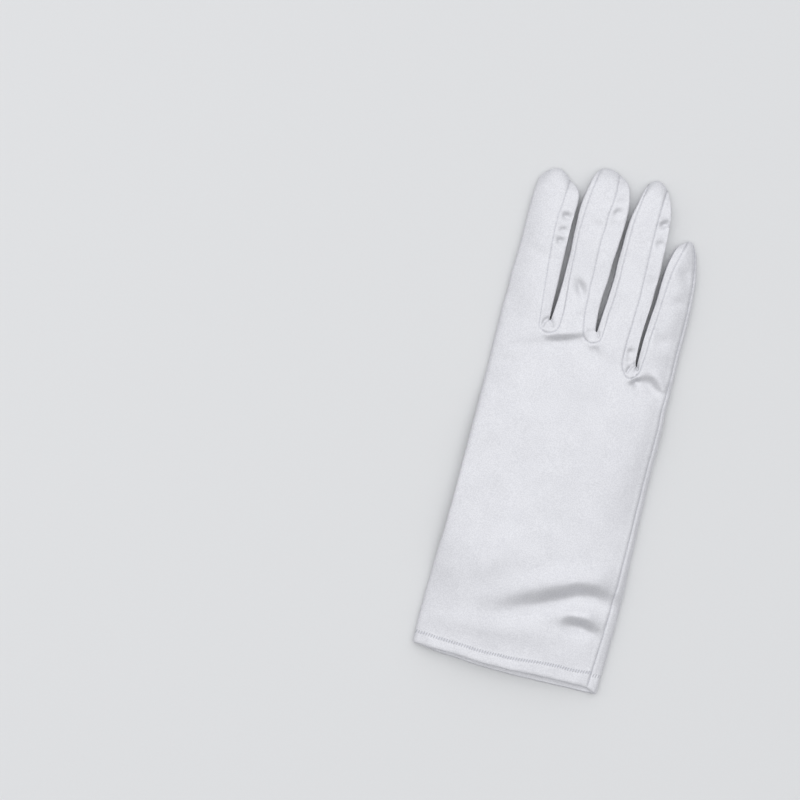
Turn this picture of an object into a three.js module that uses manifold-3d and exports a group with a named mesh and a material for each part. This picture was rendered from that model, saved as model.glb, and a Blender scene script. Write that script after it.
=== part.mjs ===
// A wrist length dress glove of satin, lying palm down with its thumb tucked under the palm.
// Millimetres, +Z up. The fingers point along +Y and the index finger is on the -X side.
// The hand piece is one cloth folded round the index side and sewn down the little finger side.
// It is split at the fingers' roots, so that each part of it is a simple solid.
// A narrow strip, the fourchette, is sewn between each two fingers, from tip to root to tip.
import * as THREE from "three";
import Module from "manifold-3d";

const wasm = await Module();
wasm.setup();

// Cloth and seams
const CLOTH = 1.0; // thickness of the satin
const SEAM_GAP = 0.3; // play between two sewn edges, and between layers that touch
const EDGE = 3.5; // height of the glove along its folded edge

// Hand and cuff
const PALM_LENGTH = 152.4; // hem to the roots of the index and middle fingers
const PALM_WIDTH = 83.4;
const CUFF_WIDTH = 1.036 * PALM_WIDTH;
const BODY_HEIGHT = 10.8; // over the middle of the hand
const CUFF_HEIGHT = 11.2; // over the middle of the mouth
const HEM_DEPTH = 5.0; // cloth turned up inside the mouth
const FINGER_HEIGHT = 9.8;

// Thumb, a flat pouch under the palm
const THUMB_LENGTH = 72;
const THUMB_WIDTH = 34; // at its widest, round the hole in the palm
const THUMB_THICKNESS = 3.2;
const THUMB_ANGLE = 52; // degrees from +X to its tip
const THUMB_ROOT_X = -32; // from the middle of the palm
const THUMB_ROOT_Y = 66; // from the hem
const THUMB_MARGIN = 6.5; // how far round the thumb the palm is lifted clear
const THUMB_SLOPE = 9; // over which the palm comes down again
const THUMB_HOLE_LENGTH = 30; // across the thumb
const THUMB_HOLE_WIDTH = 17; // along the thumb

// Roots, in palm widths: how far each lies below the palm's end, and from there its web's rise and seam's sag
const ROOTS = [
  { name: "index_middle", drop: 0.0, rise: 0.054, sag: 0.0216 },
  { name: "middle_ring", drop: 0.0, rise: 0.0516, sag: 0.0204 },
  { name: "ring_little", drop: 0.1187, rise: 0.0384, sag: 0.0396 },
];

// Fingers: width at the root in palm widths, length past the palm in palm lengths,
// and how far up that length the tip's two corners are. Sections, from root to tip: the outer edge
// and seam on the left, the seam and outer edge on the right, in root widths from the root's left side.
// The folded and the sewn side of the hand have no strip.
const FINGERS = [
  {
    name: "index", width: 0.265, length: 0.471, leftTip: 0.914, rightTip: 0.946,
    sections: [
      { at: 0.0, edgeL: 0.0, seamL: 0.0, seamR: 0.81, edgeR: 0.986 },
      { at: 0.03, edgeL: 0.002, seamL: 0.002, seamR: 0.791, edgeR: 0.989 },
      { at: 0.2, edgeL: 0.012, seamL: 0.012, seamR: 0.752, edgeR: 0.99 },
      { at: 0.48, edgeL: 0.032, seamL: 0.032, seamR: 0.674, edgeR: 0.975 },
      { at: 0.68, edgeL: 0.042, seamL: 0.042, seamR: 0.652, edgeR: 0.975 },
      { at: 0.86, edgeL: 0.052, seamL: 0.052, seamR: 0.683, edgeR: 0.985 },
      { at: 0.94, edgeL: 0.064, seamL: 0.064, seamR: 0.703, edgeR: 0.93 },
      { at: 1.0, edgeL: 0.086, seamL: 0.086, seamR: 0.715, edgeR: 0.715 },
    ],
  },
  {
    name: "middle", width: 0.258, length: 0.507, leftTip: 0.985, rightTip: 0.98,
    sections: [
      { at: 0.0, edgeL: 0.014, seamL: 0.172, seamR: 0.767, edgeR: 0.986 },
      { at: 0.03, edgeL: 0.022, seamL: 0.214, seamR: 0.735, edgeR: 0.975 },
      { at: 0.14, edgeL: 0.056, seamL: 0.237, seamR: 0.674, edgeR: 0.96 },
      { at: 0.35, edgeL: 0.078, seamL: 0.181, seamR: 0.651, edgeR: 1.0 },
      { at: 0.55, edgeL: 0.074, seamL: 0.153, seamR: 0.651, edgeR: 1.037 },
      { at: 0.75, edgeL: 0.062, seamL: 0.167, seamR: 0.674, edgeR: 1.068 },
      { at: 0.88, edgeL: 0.116, seamL: 0.214, seamR: 0.715, edgeR: 1.023 },
      { at: 0.95, edgeL: 0.186, seamL: 0.251, seamR: 0.707, edgeR: 0.935 },
      { at: 1.0, edgeL: 0.288, seamL: 0.288, seamR: 0.7, edgeR: 0.7 },
    ],
  },
  {
    name: "ring", width: 0.258, length: 0.506, leftTip: 0.968, rightTip: 0.958,
    sections: [
      { at: 0.0, edgeL: 0.014, seamL: 0.112, seamR: 0.735, edgeR: 0.986 },
      { at: 0.03, edgeL: 0.02, seamL: 0.14, seamR: 0.697, edgeR: 0.96 },
      { at: 0.14, edgeL: 0.07, seamL: 0.167, seamR: 0.684, edgeR: 0.949 },
      { at: 0.35, edgeL: 0.121, seamL: 0.209, seamR: 0.712, edgeR: 0.991 },
      { at: 0.55, edgeL: 0.13, seamL: 0.212, seamR: 0.714, edgeR: 1.026 },
      { at: 0.75, edgeL: 0.153, seamL: 0.219, seamR: 0.702, edgeR: 0.986 },
      { at: 0.88, edgeL: 0.219, seamL: 0.27, seamR: 0.716, edgeR: 0.944 },
      { at: 0.95, edgeL: 0.279, seamL: 0.316, seamR: 0.735, edgeR: 0.85 },
      { at: 1.0, edgeL: 0.349, seamL: 0.349, seamR: 0.753, edgeR: 0.753 },
    ],
  },
  {
    name: "little", width: 0.219, length: 0.354, leftTip: 0.99, rightTip: 0.98,
    sections: [
      { at: 0.0, edgeL: 0.016, seamL: 0.093, seamR: 0.902, edgeR: 1.0 },
      { at: 0.03, edgeL: 0.002, seamL: 0.115, seamR: 0.903, edgeR: 1.0 },
      { at: 0.14, edgeL: 0.002, seamL: 0.142, seamR: 0.907, edgeR: 1.0 },
      { at: 0.35, edgeL: 0.04, seamL: 0.191, seamR: 0.916, edgeR: 1.0 },
      { at: 0.55, edgeL: 0.087, seamL: 0.23, seamR: 0.905, edgeR: 0.989 },
      { at: 0.75, edgeL: 0.12, seamL: 0.295, seamR: 0.863, edgeR: 0.937 },
      { at: 0.88, edgeL: 0.197, seamL: 0.388, seamR: 0.787, edgeR: 0.838 },
      { at: 0.95, edgeL: 0.295, seamL: 0.45, seamR: 0.725, edgeR: 0.765 },
      { at: 1.0, edgeL: 0.497, seamL: 0.497, seamR: 0.672, edgeR: 0.672 },
    ],
  },
];

// Height of the fingers from root to tip, in finger heights, and the strip between fingers from its upper
// seam (across 0) to its outermost line (across 1), as a share of the height above that line
const FINGER_PUFF = [
  { at: 0.0, high: 1.0 },
  { at: 0.35, high: 0.93 },
  { at: 0.75, high: 0.88 },
  { at: 0.9, high: 0.78 },
  { at: 1.0, high: 0.62 },
];
const STRIP = [
  { across: 0.45, high: 0.8 },
  { across: 0.85, high: 0.38 },
];

// The hand's outline from hem to roots: share of the cuff's flare, skew of each side in half widths,
// and how far the side seam lies in from the edge, in palm widths
const OUTLINE = [
  { at: 0.0, flare: 1.0, left: 1.032, right: 0.97, seam: 0.056 },
  { at: 0.13, flare: 0.97, left: 1.03, right: 0.99, seam: 0.052 },
  { at: 0.27, flare: 0.7, left: 1.02, right: 1.007, seam: 0.048 },
  { at: 0.43, flare: 0.35, left: 1.012, right: 1.01, seam: 0.037 },
  { at: 0.66, flare: 0.1, left: 1.004, right: 1.005, seam: 0.03 },
  { at: 1.0, flare: 0.0, left: 1.0, right: 1.0, seam: 0.0215 },
];

// The mouth's edge from the folded side to the sewn side, in hem depths: the palm hangs a little lower
const MOUTH = [
  { at: 0.0, back: 0.1, palm: 0.1 },
  { at: 0.15, back: 0.0, palm: -0.22 },
  { at: 0.5, back: -0.2, palm: -0.45 },
  { at: 0.8, back: -0.08, palm: -0.5 },
  { at: 1.0, back: -0.08, palm: -0.46 },
];

// Folds of the back: place in half palm widths and palm lengths, turn in degrees, reach along and spread
// across in palm widths, rise in body heights, and how much the ends bend down, in reaches
const FOLDS = [
  { x: 0.36, y: 0.292, turn: 20, reach: 0.31, spread: 0.066, rise: 0.15, bend: 0.1 },
  { x: 0.36, y: 0.222, turn: 20, reach: 0.3, spread: 0.06, rise: -0.13, bend: 0.1 },
  { x: 0.66, y: 0.2, turn: 6, reach: 0.12, spread: 0.038, rise: 0.06, bend: 0.1 },
  { x: 0.64, y: 0.158, turn: 4, reach: 0.12, spread: 0.036, rise: -0.1, bend: 0.1 },
  { x: -0.32, y: 0.962, turn: 14, reach: 0.11, spread: 0.034, rise: -0.12, bend: 0 },
  { x: -0.72, y: 0.94, turn: 14, reach: 0.14, spread: 0.045, rise: -0.05, bend: 0 },
  { x: -0.84, y: 0.88, turn: 8, reach: 0.09, spread: 0.035, rise: -0.05, bend: 0 },
  { x: 0.62, y: 0.9, turn: -10, reach: 0.05, spread: 0.036, rise: -0.1, bend: 0 },
  { x: 0.8, y: 0.905, turn: -35, reach: 0.075, spread: 0.032, rise: -0.08, bend: 0 },
  { x: -0.9, y: 0.66, turn: 40, reach: 0.16, spread: 0.08, rise: 0.08, bend: 0 },
];

// The thumb from its closed root to its tip: half width in thumb widths, and thickness in thumb thicknesses
const THUMB = [
  { at: 0.0, half: 0.2, thick: 0.75 },
  { at: 0.04, half: 0.35, thick: 0.95 },
  { at: 0.13, half: 0.47, thick: 1.0 },
  { at: 0.25, half: 0.5, thick: 1.0 },
  { at: 0.38, half: 0.48, thick: 1.0 },
  { at: 0.52, half: 0.42, thick: 1.0 },
  { at: 0.68, half: 0.37, thick: 1.0 },
  { at: 0.84, half: 0.33, thick: 1.0 },
  { at: 0.95, half: 0.24, thick: 0.95 },
  { at: 1.0, half: 0.13, thick: 0.75 },
];
const THUMB_HOLE_AT = 0.23; // the hole's middle, as a share of the thumb's length

// Rows of cloth from hem to roots, close together where the folds are; the second is the hem's depth
const FOLD_ROWS = [0.07, 0.105, 0.135, 0.16, 0.185, 0.21, 0.235, 0.26, 0.285, 0.31, 0.34, 0.38];
const PALM_ROWS = [0.43, 0.48, 0.54, 0.6, 0.66, 0.72, 0.78, 0.84, 0.89, 0.93, 0.965, 1.0];
const BODY_ROWS = [0, HEM_DEPTH / PALM_LENGTH, ...FOLD_ROWS, ...PALM_ROWS];
const FINGER_ROWS = 10;
const FINGER_COLUMNS = [5, 3, 3, 4];
const WEB_COLUMNS = 4;
const HOLE_SEGMENTS = 12; // in a quarter turn
const RIM_ANGLES = [0, 45, 90]; // round a folded edge, from its outermost line

// Shape of the sections
const MID = EDGE / 2; // height of the outermost line, and radius of the folded edge
const CROWN = 0.6; // how square the hand's section is
const ROLL = 0.65; // how square a finger's section is beside a folded or sewn side
const SEWN_ROLL = 0.12; // where that roll ends at the side seam of the little finger
const BULGE = 0.08; // crown of a finger between its two seams
const FINGER_BLEND = 0.25; // share of a finger over which the hand's height turns into the finger's
const TIP_START = 0.9; // share of a finger where it begins to close to its tip
const ARCH_START = 0.75; // share of a finger where its rows begin to arch to the tip's round
const ROW_CROWDING = 1.35; // how much closer together a finger's rows are at the tip
const UNDER_SEAM = 0.3; // the fourchette's lower seam, from the outermost line towards the upper seam
const WEB_DIP = 0.4; // mm, how round the web is between two fingers
const CROWN_LIFT = 0.6; // share of the thumb's lift that the middle of the back doesn't follow
const STEADY = 0.02; // keeps a cloth's inner face steady where its outer faces are nearly one plane
const STEP_LENGTHS = [0.6, 1.6]; // shortest and longest way to the inner face, in cloth thicknesses
const MERGE = 1e-3; // mm, points nearer than this are one

const halfPalm = PALM_WIDTH / 2;
const mix = (a, b, t) => a + (b - a) * t;
const clamp = (t) => Math.min(1, Math.max(0, t));
const smooth = (t) => clamp(t) ** 2 * (3 - 2 * clamp(t));

// A column of a table at a share, on a smooth curve through its rows
function pick(table, at, column) {
  let row = 0;
  while (row < table.length - 2 && table[row + 1].at < at) row += 1;
  const slope = (k) => {
    const low = table[Math.max(0, k - 1)];
    const high = table[Math.min(table.length - 1, k + 1)];
    return (high[column] - low[column]) / (high.at - low.at);
  };
  const a = table[row];
  const b = table[row + 1];
  const span = b.at - a.at;
  const t = clamp((at - a.at) / span);
  const bend = (1 - t) ** 2 * t * span * slope(row) - t * t * (1 - t) * span * slope(row + 1);
  return mix(a[column], b[column], smooth(t)) + bend;
}

// Where each finger stands, in mm: its left side, and the heights of its two roots and of its tip's corners
let nextLeft = -halfPalm;
const hand = FINGERS.map((finger, k) => {
  const left = nextLeft;
  const width = finger.width * PALM_WIDTH;
  nextLeft += width;
  const rootL = ROOTS[k - 1] ?? { drop: 0, rise: 0 };
  const rootR = ROOTS[k] ?? { drop: rootL.drop, rise: 0 };
  const height = (root, rise) => PALM_LENGTH + (rise - root.drop) * PALM_WIDTH;
  const tip = (share) => PALM_LENGTH * (1 + finger.length * share);
  return {
    sections: finger.sections,
    columns: FINGER_COLUMNS[k],
    left,
    width,
    rootL: height(rootL, 0),
    rootR: height(rootR, 0),
    webL: height(rootL, rootL.rise),
    webR: height(rootR, rootR.rise),
    tipL: tip(finger.leftTip),
    tipR: tip(finger.rightTip),
    arch: tip(1) - (tip(finger.leftTip) + tip(finger.rightTip)) / 2,
    name: finger.name,
    folded: k === 0,
    sewn: k === FINGERS.length - 1,
  };
});

// The hand's two edges and its side seam at a height y
function outline(y) {
  const at = clamp(y / PALM_LENGTH);
  const half = mix(halfPalm, CUFF_WIDTH / 2, pick(OUTLINE, at, "flare"));
  const left = -half * pick(OUTLINE, at, "left");
  const right = half * pick(OUTLINE, at, "right");
  return { left, right, seam: right - PALM_WIDTH * pick(OUTLINE, at, "seam") };
}

const thumbTurn = THREE.MathUtils.degToRad(THUMB_ANGLE);
const thumbAxis = new THREE.Vector2(Math.cos(thumbTurn), Math.sin(thumbTurn));

// How high the palm is lifted off the surface by the thumb under it
function lift(x, y) {
  const away = new THREE.Vector2(x - THUMB_ROOT_X, y - THUMB_ROOT_Y);
  const along = clamp(away.dot(thumbAxis) / THUMB_LENGTH);
  const half = THUMB_WIDTH * pick(THUMB, along, "half");
  const side = away.distanceTo(thumbAxis.clone().multiplyScalar(along * THUMB_LENGTH));
  const clear = side - half - THUMB_MARGIN;
  return (THUMB_THICKNESS + SEAM_GAP) * (1 - smooth(clear / THUMB_SLOPE));
}

// The sum of the folds at a place on the back
function folds(x, y) {
  let sum = 0;
  for (const fold of FOLDS) {
    const turn = THREE.MathUtils.degToRad(fold.turn);
    const dx = x - fold.x * halfPalm;
    const dy = y - fold.y * PALM_LENGTH;
    const along = (dx * Math.cos(turn) + dy * Math.sin(turn)) / (fold.reach * PALM_WIDTH);
    const bent = fold.bend * along * along * fold.reach * PALM_WIDTH;
    const across = (dy * Math.cos(turn) - dx * Math.sin(turn) + bent) / (fold.spread * PALM_WIDTH);
    sum += fold.rise * BODY_HEIGHT * Math.exp(-along * along - across * across);
  }
  return sum;
}

// Height of the back of the hand
function bodyTop(x, y) {
  const { left, right } = outline(y);
  const half = (right - left) / 2 - MID;
  const share = clamp(Math.abs(x - (left + right) / 2) / half);
  const crown = (1 - share * share) ** CROWN;
  const high = mix(CUFF_HEIGHT, BODY_HEIGHT, smooth(y / halfPalm));
  return EDGE + (high - EDGE + folds(x, y)) * crown + lift(x, y) * (1 - CROWN_LIFT * crown);
}

// How open a finger still is at a share of its length: 1, and then closing round to 0 at the tip
const open = (at) => Math.sqrt(1 - clamp((at - TIP_START) / (1 - TIP_START)) ** 2);

// Height of a finger's back at a share across it
function fingerTop(finger, across, at) {
  const high = FINGER_HEIGHT * pick(FINGER_PUFF, at, "high");
  const roll = (t) => EDGE + (high - EDGE) * (1 - (1 - t) ** 2) ** ROLL;
  if (finger.folded) return roll(across);
  if (finger.sewn) return roll(mix(1, SEWN_ROLL, across));
  return high * (1 + BULGE * 4 * across * (1 - across));
}

// A finger's outermost edges and seams at a share of its length, on the back
function section(finger, at) {
  const x = (column) => finger.left + finger.width * pick(finger.sections, at, column);
  const y = (root, tip) => mix(root, tip, at);
  return {
    edgeL: new THREE.Vector2(x("edgeL"), y(finger.webL, finger.tipL)),
    seamL: new THREE.Vector2(x("seamL"), y(finger.rootL, finger.tipL)),
    seamR: new THREE.Vector2(x("seamR"), y(finger.rootR, finger.tipR)),
    edgeR: new THREE.Vector2(x("edgeR"), y(finger.webR, finger.tipR)),
  };
}

const shares = (columns) => Array.from({ length: columns + 1 }, (_, k) => k / columns);

// Points of a row of cloth between two places, arched towards the tip
function between(from, to, columns, arch) {
  return shares(columns).map((share) => {
    const y = mix(from.y, to.y, share) + 4 * arch * share * (1 - share);
    return { x: mix(from.x, to.x, share), y, share };
  });
}

const archAt = (finger, at) => finger.arch * smooth((at - ARCH_START) / (1 - ARCH_START));
const point = (x, y, z) => new THREE.Vector3(x, y, z);

// The folded edge beside x, turning inwards (side 1 on the left, -1 on the right), above or below its middle
function rim(x, y, base, radius, side, updown) {
  return RIM_ANGLES.map((degrees) => {
    const turn = THREE.MathUtils.degToRad(degrees);
    const z = base + MID + updown * Math.min(MID, radius.high) * Math.sin(turn);
    return point(x + side * radius.wide * (1 - Math.cos(turn)), y, z);
  });
}

// One row of a finger's back, from its left fold or seam to its right seam
function fingerBackRow(finger, at) {
  const { edgeL, seamL, seamR } = section(finger, at);
  const wide = MID * open(at);
  const from = finger.folded ? new THREE.Vector2(edgeL.x + wide, edgeL.y) : seamL;
  const row = between(from, seamR, finger.columns, archAt(finger, at)).map(({ x, y, share }) => {
    const high = mix(bodyTop(x, y), fingerTop(finger, share, at), smooth(at / FINGER_BLEND));
    return point(x, y, MID + (high - MID) * open(at));
  });
  if (!finger.folded) return row;
  return [...rim(edgeL.x, edgeL.y, 0, { wide, high: MID * open(at) }, 1, 1).slice(0, -1), ...row];
}

const under = (edge, seam) => edge.clone().lerp(seam, UNDER_SEAM);

// One row of a finger's palm side, from its left fold or seam to its right seam, or on to the side seam
function fingerPalmRow(finger, at) {
  const { edgeL, seamL, seamR, edgeR } = section(finger, at);
  const wide = MID * open(at);
  const wideR = Math.min(wide, Math.max(0, edgeR.x - seamR.x));
  const from = finger.folded ? new THREE.Vector2(edgeL.x + wide, edgeL.y) : under(edgeL, seamL);
  const to = finger.sewn ? new THREE.Vector2(edgeR.x - wideR, edgeR.y) : under(edgeR, seamR);
  const low = MID * (1 - open(at));
  const row = between(from, to, finger.columns, archAt(finger, at)).map(({ x, y }) => point(x, y, low));
  const high = MID * open(at);
  const left = finger.folded ? rim(edgeL.x, edgeL.y, 0, { wide, high }, 1, -1).slice(0, -1) : [];
  if (!finger.sewn) return [...left, ...row];
  const below = rim(edgeR.x, edgeR.y, 0, { wide: wideR, high }, -1, -1).slice(0, -1).reverse();
  const above = rim(edgeR.x, edgeR.y, 0, { wide: wideR, high }, -1, 1).slice(1);
  const seam = fingerBackRow(finger, at).at(-1);
  return [...row, ...below, ...above, seam];
}

// The seam round a root between two fingers, on the back, and the outermost line of the web inside it
function webRow(k, share) {
  const left = section(hand[k], 0);
  const right = section(hand[k + 1], 0);
  const side = 2 * share - 1;
  const seam = left.seamR.clone().lerp(right.seamL, share);
  seam.y -= PALM_WIDTH * ROOTS[k].sag * (1 - side * side);
  const edge = left.edgeR.clone().lerp(right.edgeL, share);
  edge.y -= WEB_DIP * (1 - side * side);
  return { seam, edge };
}

// The row of places at the roots, where the hand ends and fingers and webs begin
function rootPlaces(fingerPlaces, webPlace) {
  const places = [];
  hand.forEach((finger, k) => {
    places.push(...fingerPlaces(finger));
    if (k === ROOTS.length) return;
    places.push(...shares(WEB_COLUMNS).slice(1, -1).map((share) => webPlace(k, share)));
  });
  return places;
}

// Rows of the back of the hand, from the folded edge to the side seam
function backRows() {
  const ends = rootPlaces(
    (finger) => {
      const row = fingerBackRow(finger, 0);
      return finger.folded ? row.slice(RIM_ANGLES.length - 1) : row;
    },
    (k, share) => webRow(k, share).seam,
  );
  const first = ends[0];
  const last = ends.at(-1);
  return BODY_ROWS.map((v) => {
    const edge = outline(v * PALM_LENGTH);
    const row = ends.map((end) => {
      const share = (end.x - first.x) / (last.x - first.x);
      const x = mix(edge.left + MID, edge.seam, share);
      const y = mix(HEM_DEPTH * pick(MOUTH, share, "back"), end.y, v);
      return point(v === 1 ? end.x : x, y, bodyTop(v === 1 ? end.x : x, y));
    });
    const y = row[0].y;
    const left = rim(row[0].x - MID, y, lift(row[0].x, y), { wide: MID, high: MID }, 1, 1);
    return [...left.slice(0, -1), ...row];
  });
}

// Rows of the palm, from the folded edge round under the hand and up to the side seam
function palmRows(back) {
  const ends = rootPlaces(
    (finger) => {
      const row = fingerPalmRow(finger, 0);
      if (finger.folded) return row.slice(RIM_ANGLES.length - 1);
      return finger.sewn ? row.slice(0, finger.columns + 1) : row;
    },
    (k, share) => {
      const { seam, edge } = webRow(k, share);
      return under(edge, seam);
    },
  );
  const first = ends[0];
  const last = ends.at(-1);
  return BODY_ROWS.map((v, j) => {
    const edge = outline(v * PALM_LENGTH);
    const row = ends.map((end) => {
      const share = (end.x - first.x) / (last.x - first.x);
      const x = v === 1 ? end.x : mix(edge.left + MID, edge.right - MID, share);
      const y = mix(HEM_DEPTH * pick(MOUTH, share, "palm"), end.y, v);
      return point(x, y, v === 1 ? 0 : lift(x, y));
    });
    const size = { wide: MID, high: MID };
    const left = rim(row[0].x - MID, row[0].y, lift(row[0].x, row[0].y), size, 1, -1);
    const right = row.at(-1);
    const base = v === 1 ? 0 : lift(right.x, right.y);
    const sizeR = { wide: v === 1 ? section(hand.at(-1), 0).edgeR.x - right.x : MID, high: MID };
    const below = rim(right.x + sizeR.wide, right.y, base, sizeR, -1, -1);
    const above = rim(right.x + sizeR.wide, right.y, base, sizeR, -1, 1);
    return [...left.slice(0, -1), ...row, ...below.slice(0, -1).reverse(), ...above.slice(1), back[j].at(-1)];
  });
}

// One row across a fourchette: from the seam on the back, over the outermost line, to the seam on the palm
function stripRow(seam, high, edge, close) {
  const low = MID * (1 - close);
  const across = [
    { share: 0, z: high },
    ...STRIP.map((place) => ({ share: place.across, z: mix(MID, high, place.high) })),
    { share: 1, z: MID },
    { share: 1 - UNDER_SEAM, z: low },
  ];
  return across.map(({ share, z }) => {
    const place = seam.clone().lerp(edge, share);
    return point(place.x, place.y, z);
  });
}

// Shares of a finger's length for its rows, closer together towards the tip
const fingerShares = shares(FINGER_ROWS).map((share) => 1 - (1 - share) ** ROW_CROWDING);

// Rows along a fourchette: down one finger, round the web and up the next finger
function fourchetteRows(k) {
  const down = [...fingerShares].reverse().map((at) => {
    const { seamR, edgeR } = section(hand[k], at);
    return stripRow(seamR, fingerBackRow(hand[k], at).at(-1).z, edgeR, open(at));
  });
  const round = shares(WEB_COLUMNS).slice(1, -1).map((share) => {
    const { seam, edge } = webRow(k, share);
    return stripRow(seam, bodyTop(seam.x, seam.y), edge, 1);
  });
  const up = fingerShares.map((at) => {
    const { seamL, edgeL } = section(hand[k + 1], at);
    return stripRow(seamL, fingerBackRow(hand[k + 1], at)[0].z, edgeL, open(at));
  });
  return [...down, ...round, ...up];
}

// The glove's outer skin: merged points, and triangles that face out, each on a named leaf of cloth
function makeSkin() {
  return { points: [], found: new Map(), triangles: [] };
}

function vertex(skin, p) {
  const key = [p.x, p.y, p.z].map((value) => Math.round(value / MERGE)).join();
  if (!skin.found.has(key)) {
    skin.found.set(key, skin.points.length);
    skin.points.push(p.clone());
  }
  return skin.found.get(key);
}

function addGrid(skin, leaf, rows, flip, band = () => "") {
  for (let r = 0; r < rows.length - 1; r += 1) {
    for (let c = 0; c < rows[r].length - 1; c += 1) {
      const corners = [rows[r][c], rows[r + 1][c], rows[r + 1][c + 1], rows[r][c + 1]];
      const [p, q, s, t] = corners.map((corner) => vertex(skin, corner));
      for (const triangle of [[p, q, s], [p, s, t]]) {
        if (new Set(triangle).size < 3) continue;
        skin.triangles.push({ ids: flip ? triangle.reverse() : triangle, leaf, band: band(r) });
      }
    }
  }
}

function normalOf(points, [a, b, c]) {
  const ab = points[b].clone().sub(points[a]);
  return ab.cross(points[c].clone().sub(points[a])).normalize();
}

// For each point, the step that puts it one unit inside all the faces around it, by least squares
function inwardSteps(skin) {
  const sums = skin.points.map(() => ({ normals: Array(9).fill(0), step: point(0, 0, 0), angle: 0 }));
  for (const { ids } of skin.triangles) {
    const normal = normalOf(skin.points, ids);
    const n = normal.toArray();
    ids.forEach((id, k) => {
      const a = skin.points[ids[(k + 1) % 3]].clone().sub(skin.points[id]);
      const b = skin.points[ids[(k + 2) % 3]].clone().sub(skin.points[id]);
      const angle = a.angleTo(b);
      const sum = sums[id];
      sum.normals = sum.normals.map((value, m) => value + angle * n[m % 3] * n[Math.floor(m / 3)]);
      sum.step.addScaledVector(normal, -angle);
      sum.angle += angle;
    });
  }
  return sums.map(({ normals, step, angle }) => {
    const matrix = new THREE.Matrix3().fromArray(normals);
    for (const diagonal of [0, 4, 8]) matrix.elements[diagonal] += STEADY * angle;
    step.applyMatrix3(matrix.invert()).multiplyScalar(1 + STEADY);
    return step.clampLength(...STEP_LENGTHS);
  });
}

const none = new Set();

// A closed solid of cloth from part of a skin: its two faces lie near and far inside the skin.
// Leaves part along their seams, where each edge steps back by half the seam's gap,
// and stay joined at the folded points. Edges between two mouth points don't step back.
function clothSolid(skin, steps, triangles, { near = 0, far = CLOTH, folded = none, mouth = none }) {
  const keys = new Map();
  const outer = [];
  const inner = [];
  const faces = triangles.map(({ ids, leaf }) => ids.map((id) => {
    const key = folded.has(id) ? `${id}` : `${id} ${leaf}`;
    if (!keys.has(key)) {
      keys.set(key, { index: outer.length, id });
      outer.push(skin.points[id].clone().addScaledVector(steps[id], near));
      inner.push(skin.points[id].clone().addScaledVector(steps[id], far));
    }
    return keys.get(key).index;
  }));
  const ids = [...keys.values()].map(({ id }) => id);
  const edges = new Map();
  for (const face of faces) {
    face.forEach((a, k) => {
      const b = face[(k + 1) % 3];
      edges.set(`${a} ${b}`, { a, b, face });
    });
  }
  const bare = [...edges.values()].filter(({ a, b }) => !edges.has(`${b} ${a}`));
  const insets = new Map();
  for (const { a, b, face } of bare) {
    if (mouth.has(ids[a]) && mouth.has(ids[b])) continue;
    const along = outer[b].clone().sub(outer[a]).normalize();
    const inwards = normalOf(outer, face).cross(along);
    for (const end of [a, b]) insets.set(end, (insets.get(end) ?? point(0, 0, 0)).add(inwards));
  }
  for (const [end, sum] of insets) {
    const step = sum.clone().normalize().multiplyScalar(SEAM_GAP / 2);
    outer[end].add(step);
    inner[end].add(step);
  }
  const count = outer.length;
  const all = faces.flatMap(([a, b, c]) => [[a, b, c], [c + count, b + count, a + count]]);
  for (const { a, b } of bare) {
    const [p, q] = [a + count, b + count];
    if (ids[a] < ids[b]) all.push([b, a, q], [q, a, p]);
    else all.push([b, a, p], [b, p, q]);
  }
  return solid([...outer, ...inner], all);
}

function solid(points, faces) {
  return new wasm.Manifold(new wasm.Mesh({
    numProp: 3,
    vertProperties: new Float32Array(points.flatMap((p) => [p.x, p.y, p.z])),
    triVerts: new Uint32Array(faces.flat()),
  }));
}

// Rings of the thumb's outer skin, flat below and above with round sides
function thumbRings() {
  return THUMB.map(({ at, half, thick }) => {
    const z = (THUMB_THICKNESS * (1 - thick)) / 2;
    const radius = (THUMB_THICKNESS * thick) / 2;
    const wide = THUMB_WIDTH * half - radius;
    const turns = [-90, -45, 0, 45, 90].map(THREE.MathUtils.degToRad);
    const side = turns.map((turn) => [wide + radius * Math.cos(turn), z + radius * (1 + Math.sin(turn))]);
    const flat = [0.5, 0, -0.5];
    const ring = [
      ...side,
      ...flat.map((share) => [share * wide, z + 2 * radius]),
      ...side.map(([w, high]) => [-w, high]).reverse(),
      ...flat.map((share) => [-share * wide, z]),
    ];
    return ring.map(([w, high]) => {
      const along = at * THUMB_LENGTH;
      return point(
        THUMB_ROOT_X + thumbAxis.x * along + thumbAxis.y * w,
        THUMB_ROOT_Y + thumbAxis.y * along - thumbAxis.x * w,
        high,
      );
    });
  });
}

// The thumb's closed skin, with a fan over each end
function thumbSkin() {
  const skin = makeSkin();
  const rings = thumbRings();
  addGrid(skin, "thumb", rings.map((ring) => [...ring, ring[0]]), false);
  [rings[0], rings.at(-1)].forEach((ring, end) => {
    const centre = ring.reduce((sum, p) => sum.add(p), point(0, 0, 0)).divideScalar(ring.length);
    ring.forEach((p, k) => {
      const triangle = [centre, ring[(k + 1) % ring.length], p].map((corner) => vertex(skin, corner));
      skin.triangles.push({ ids: end ? triangle : triangle.reverse(), leaf: "thumb" });
    });
  });
  return skin;
}

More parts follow.
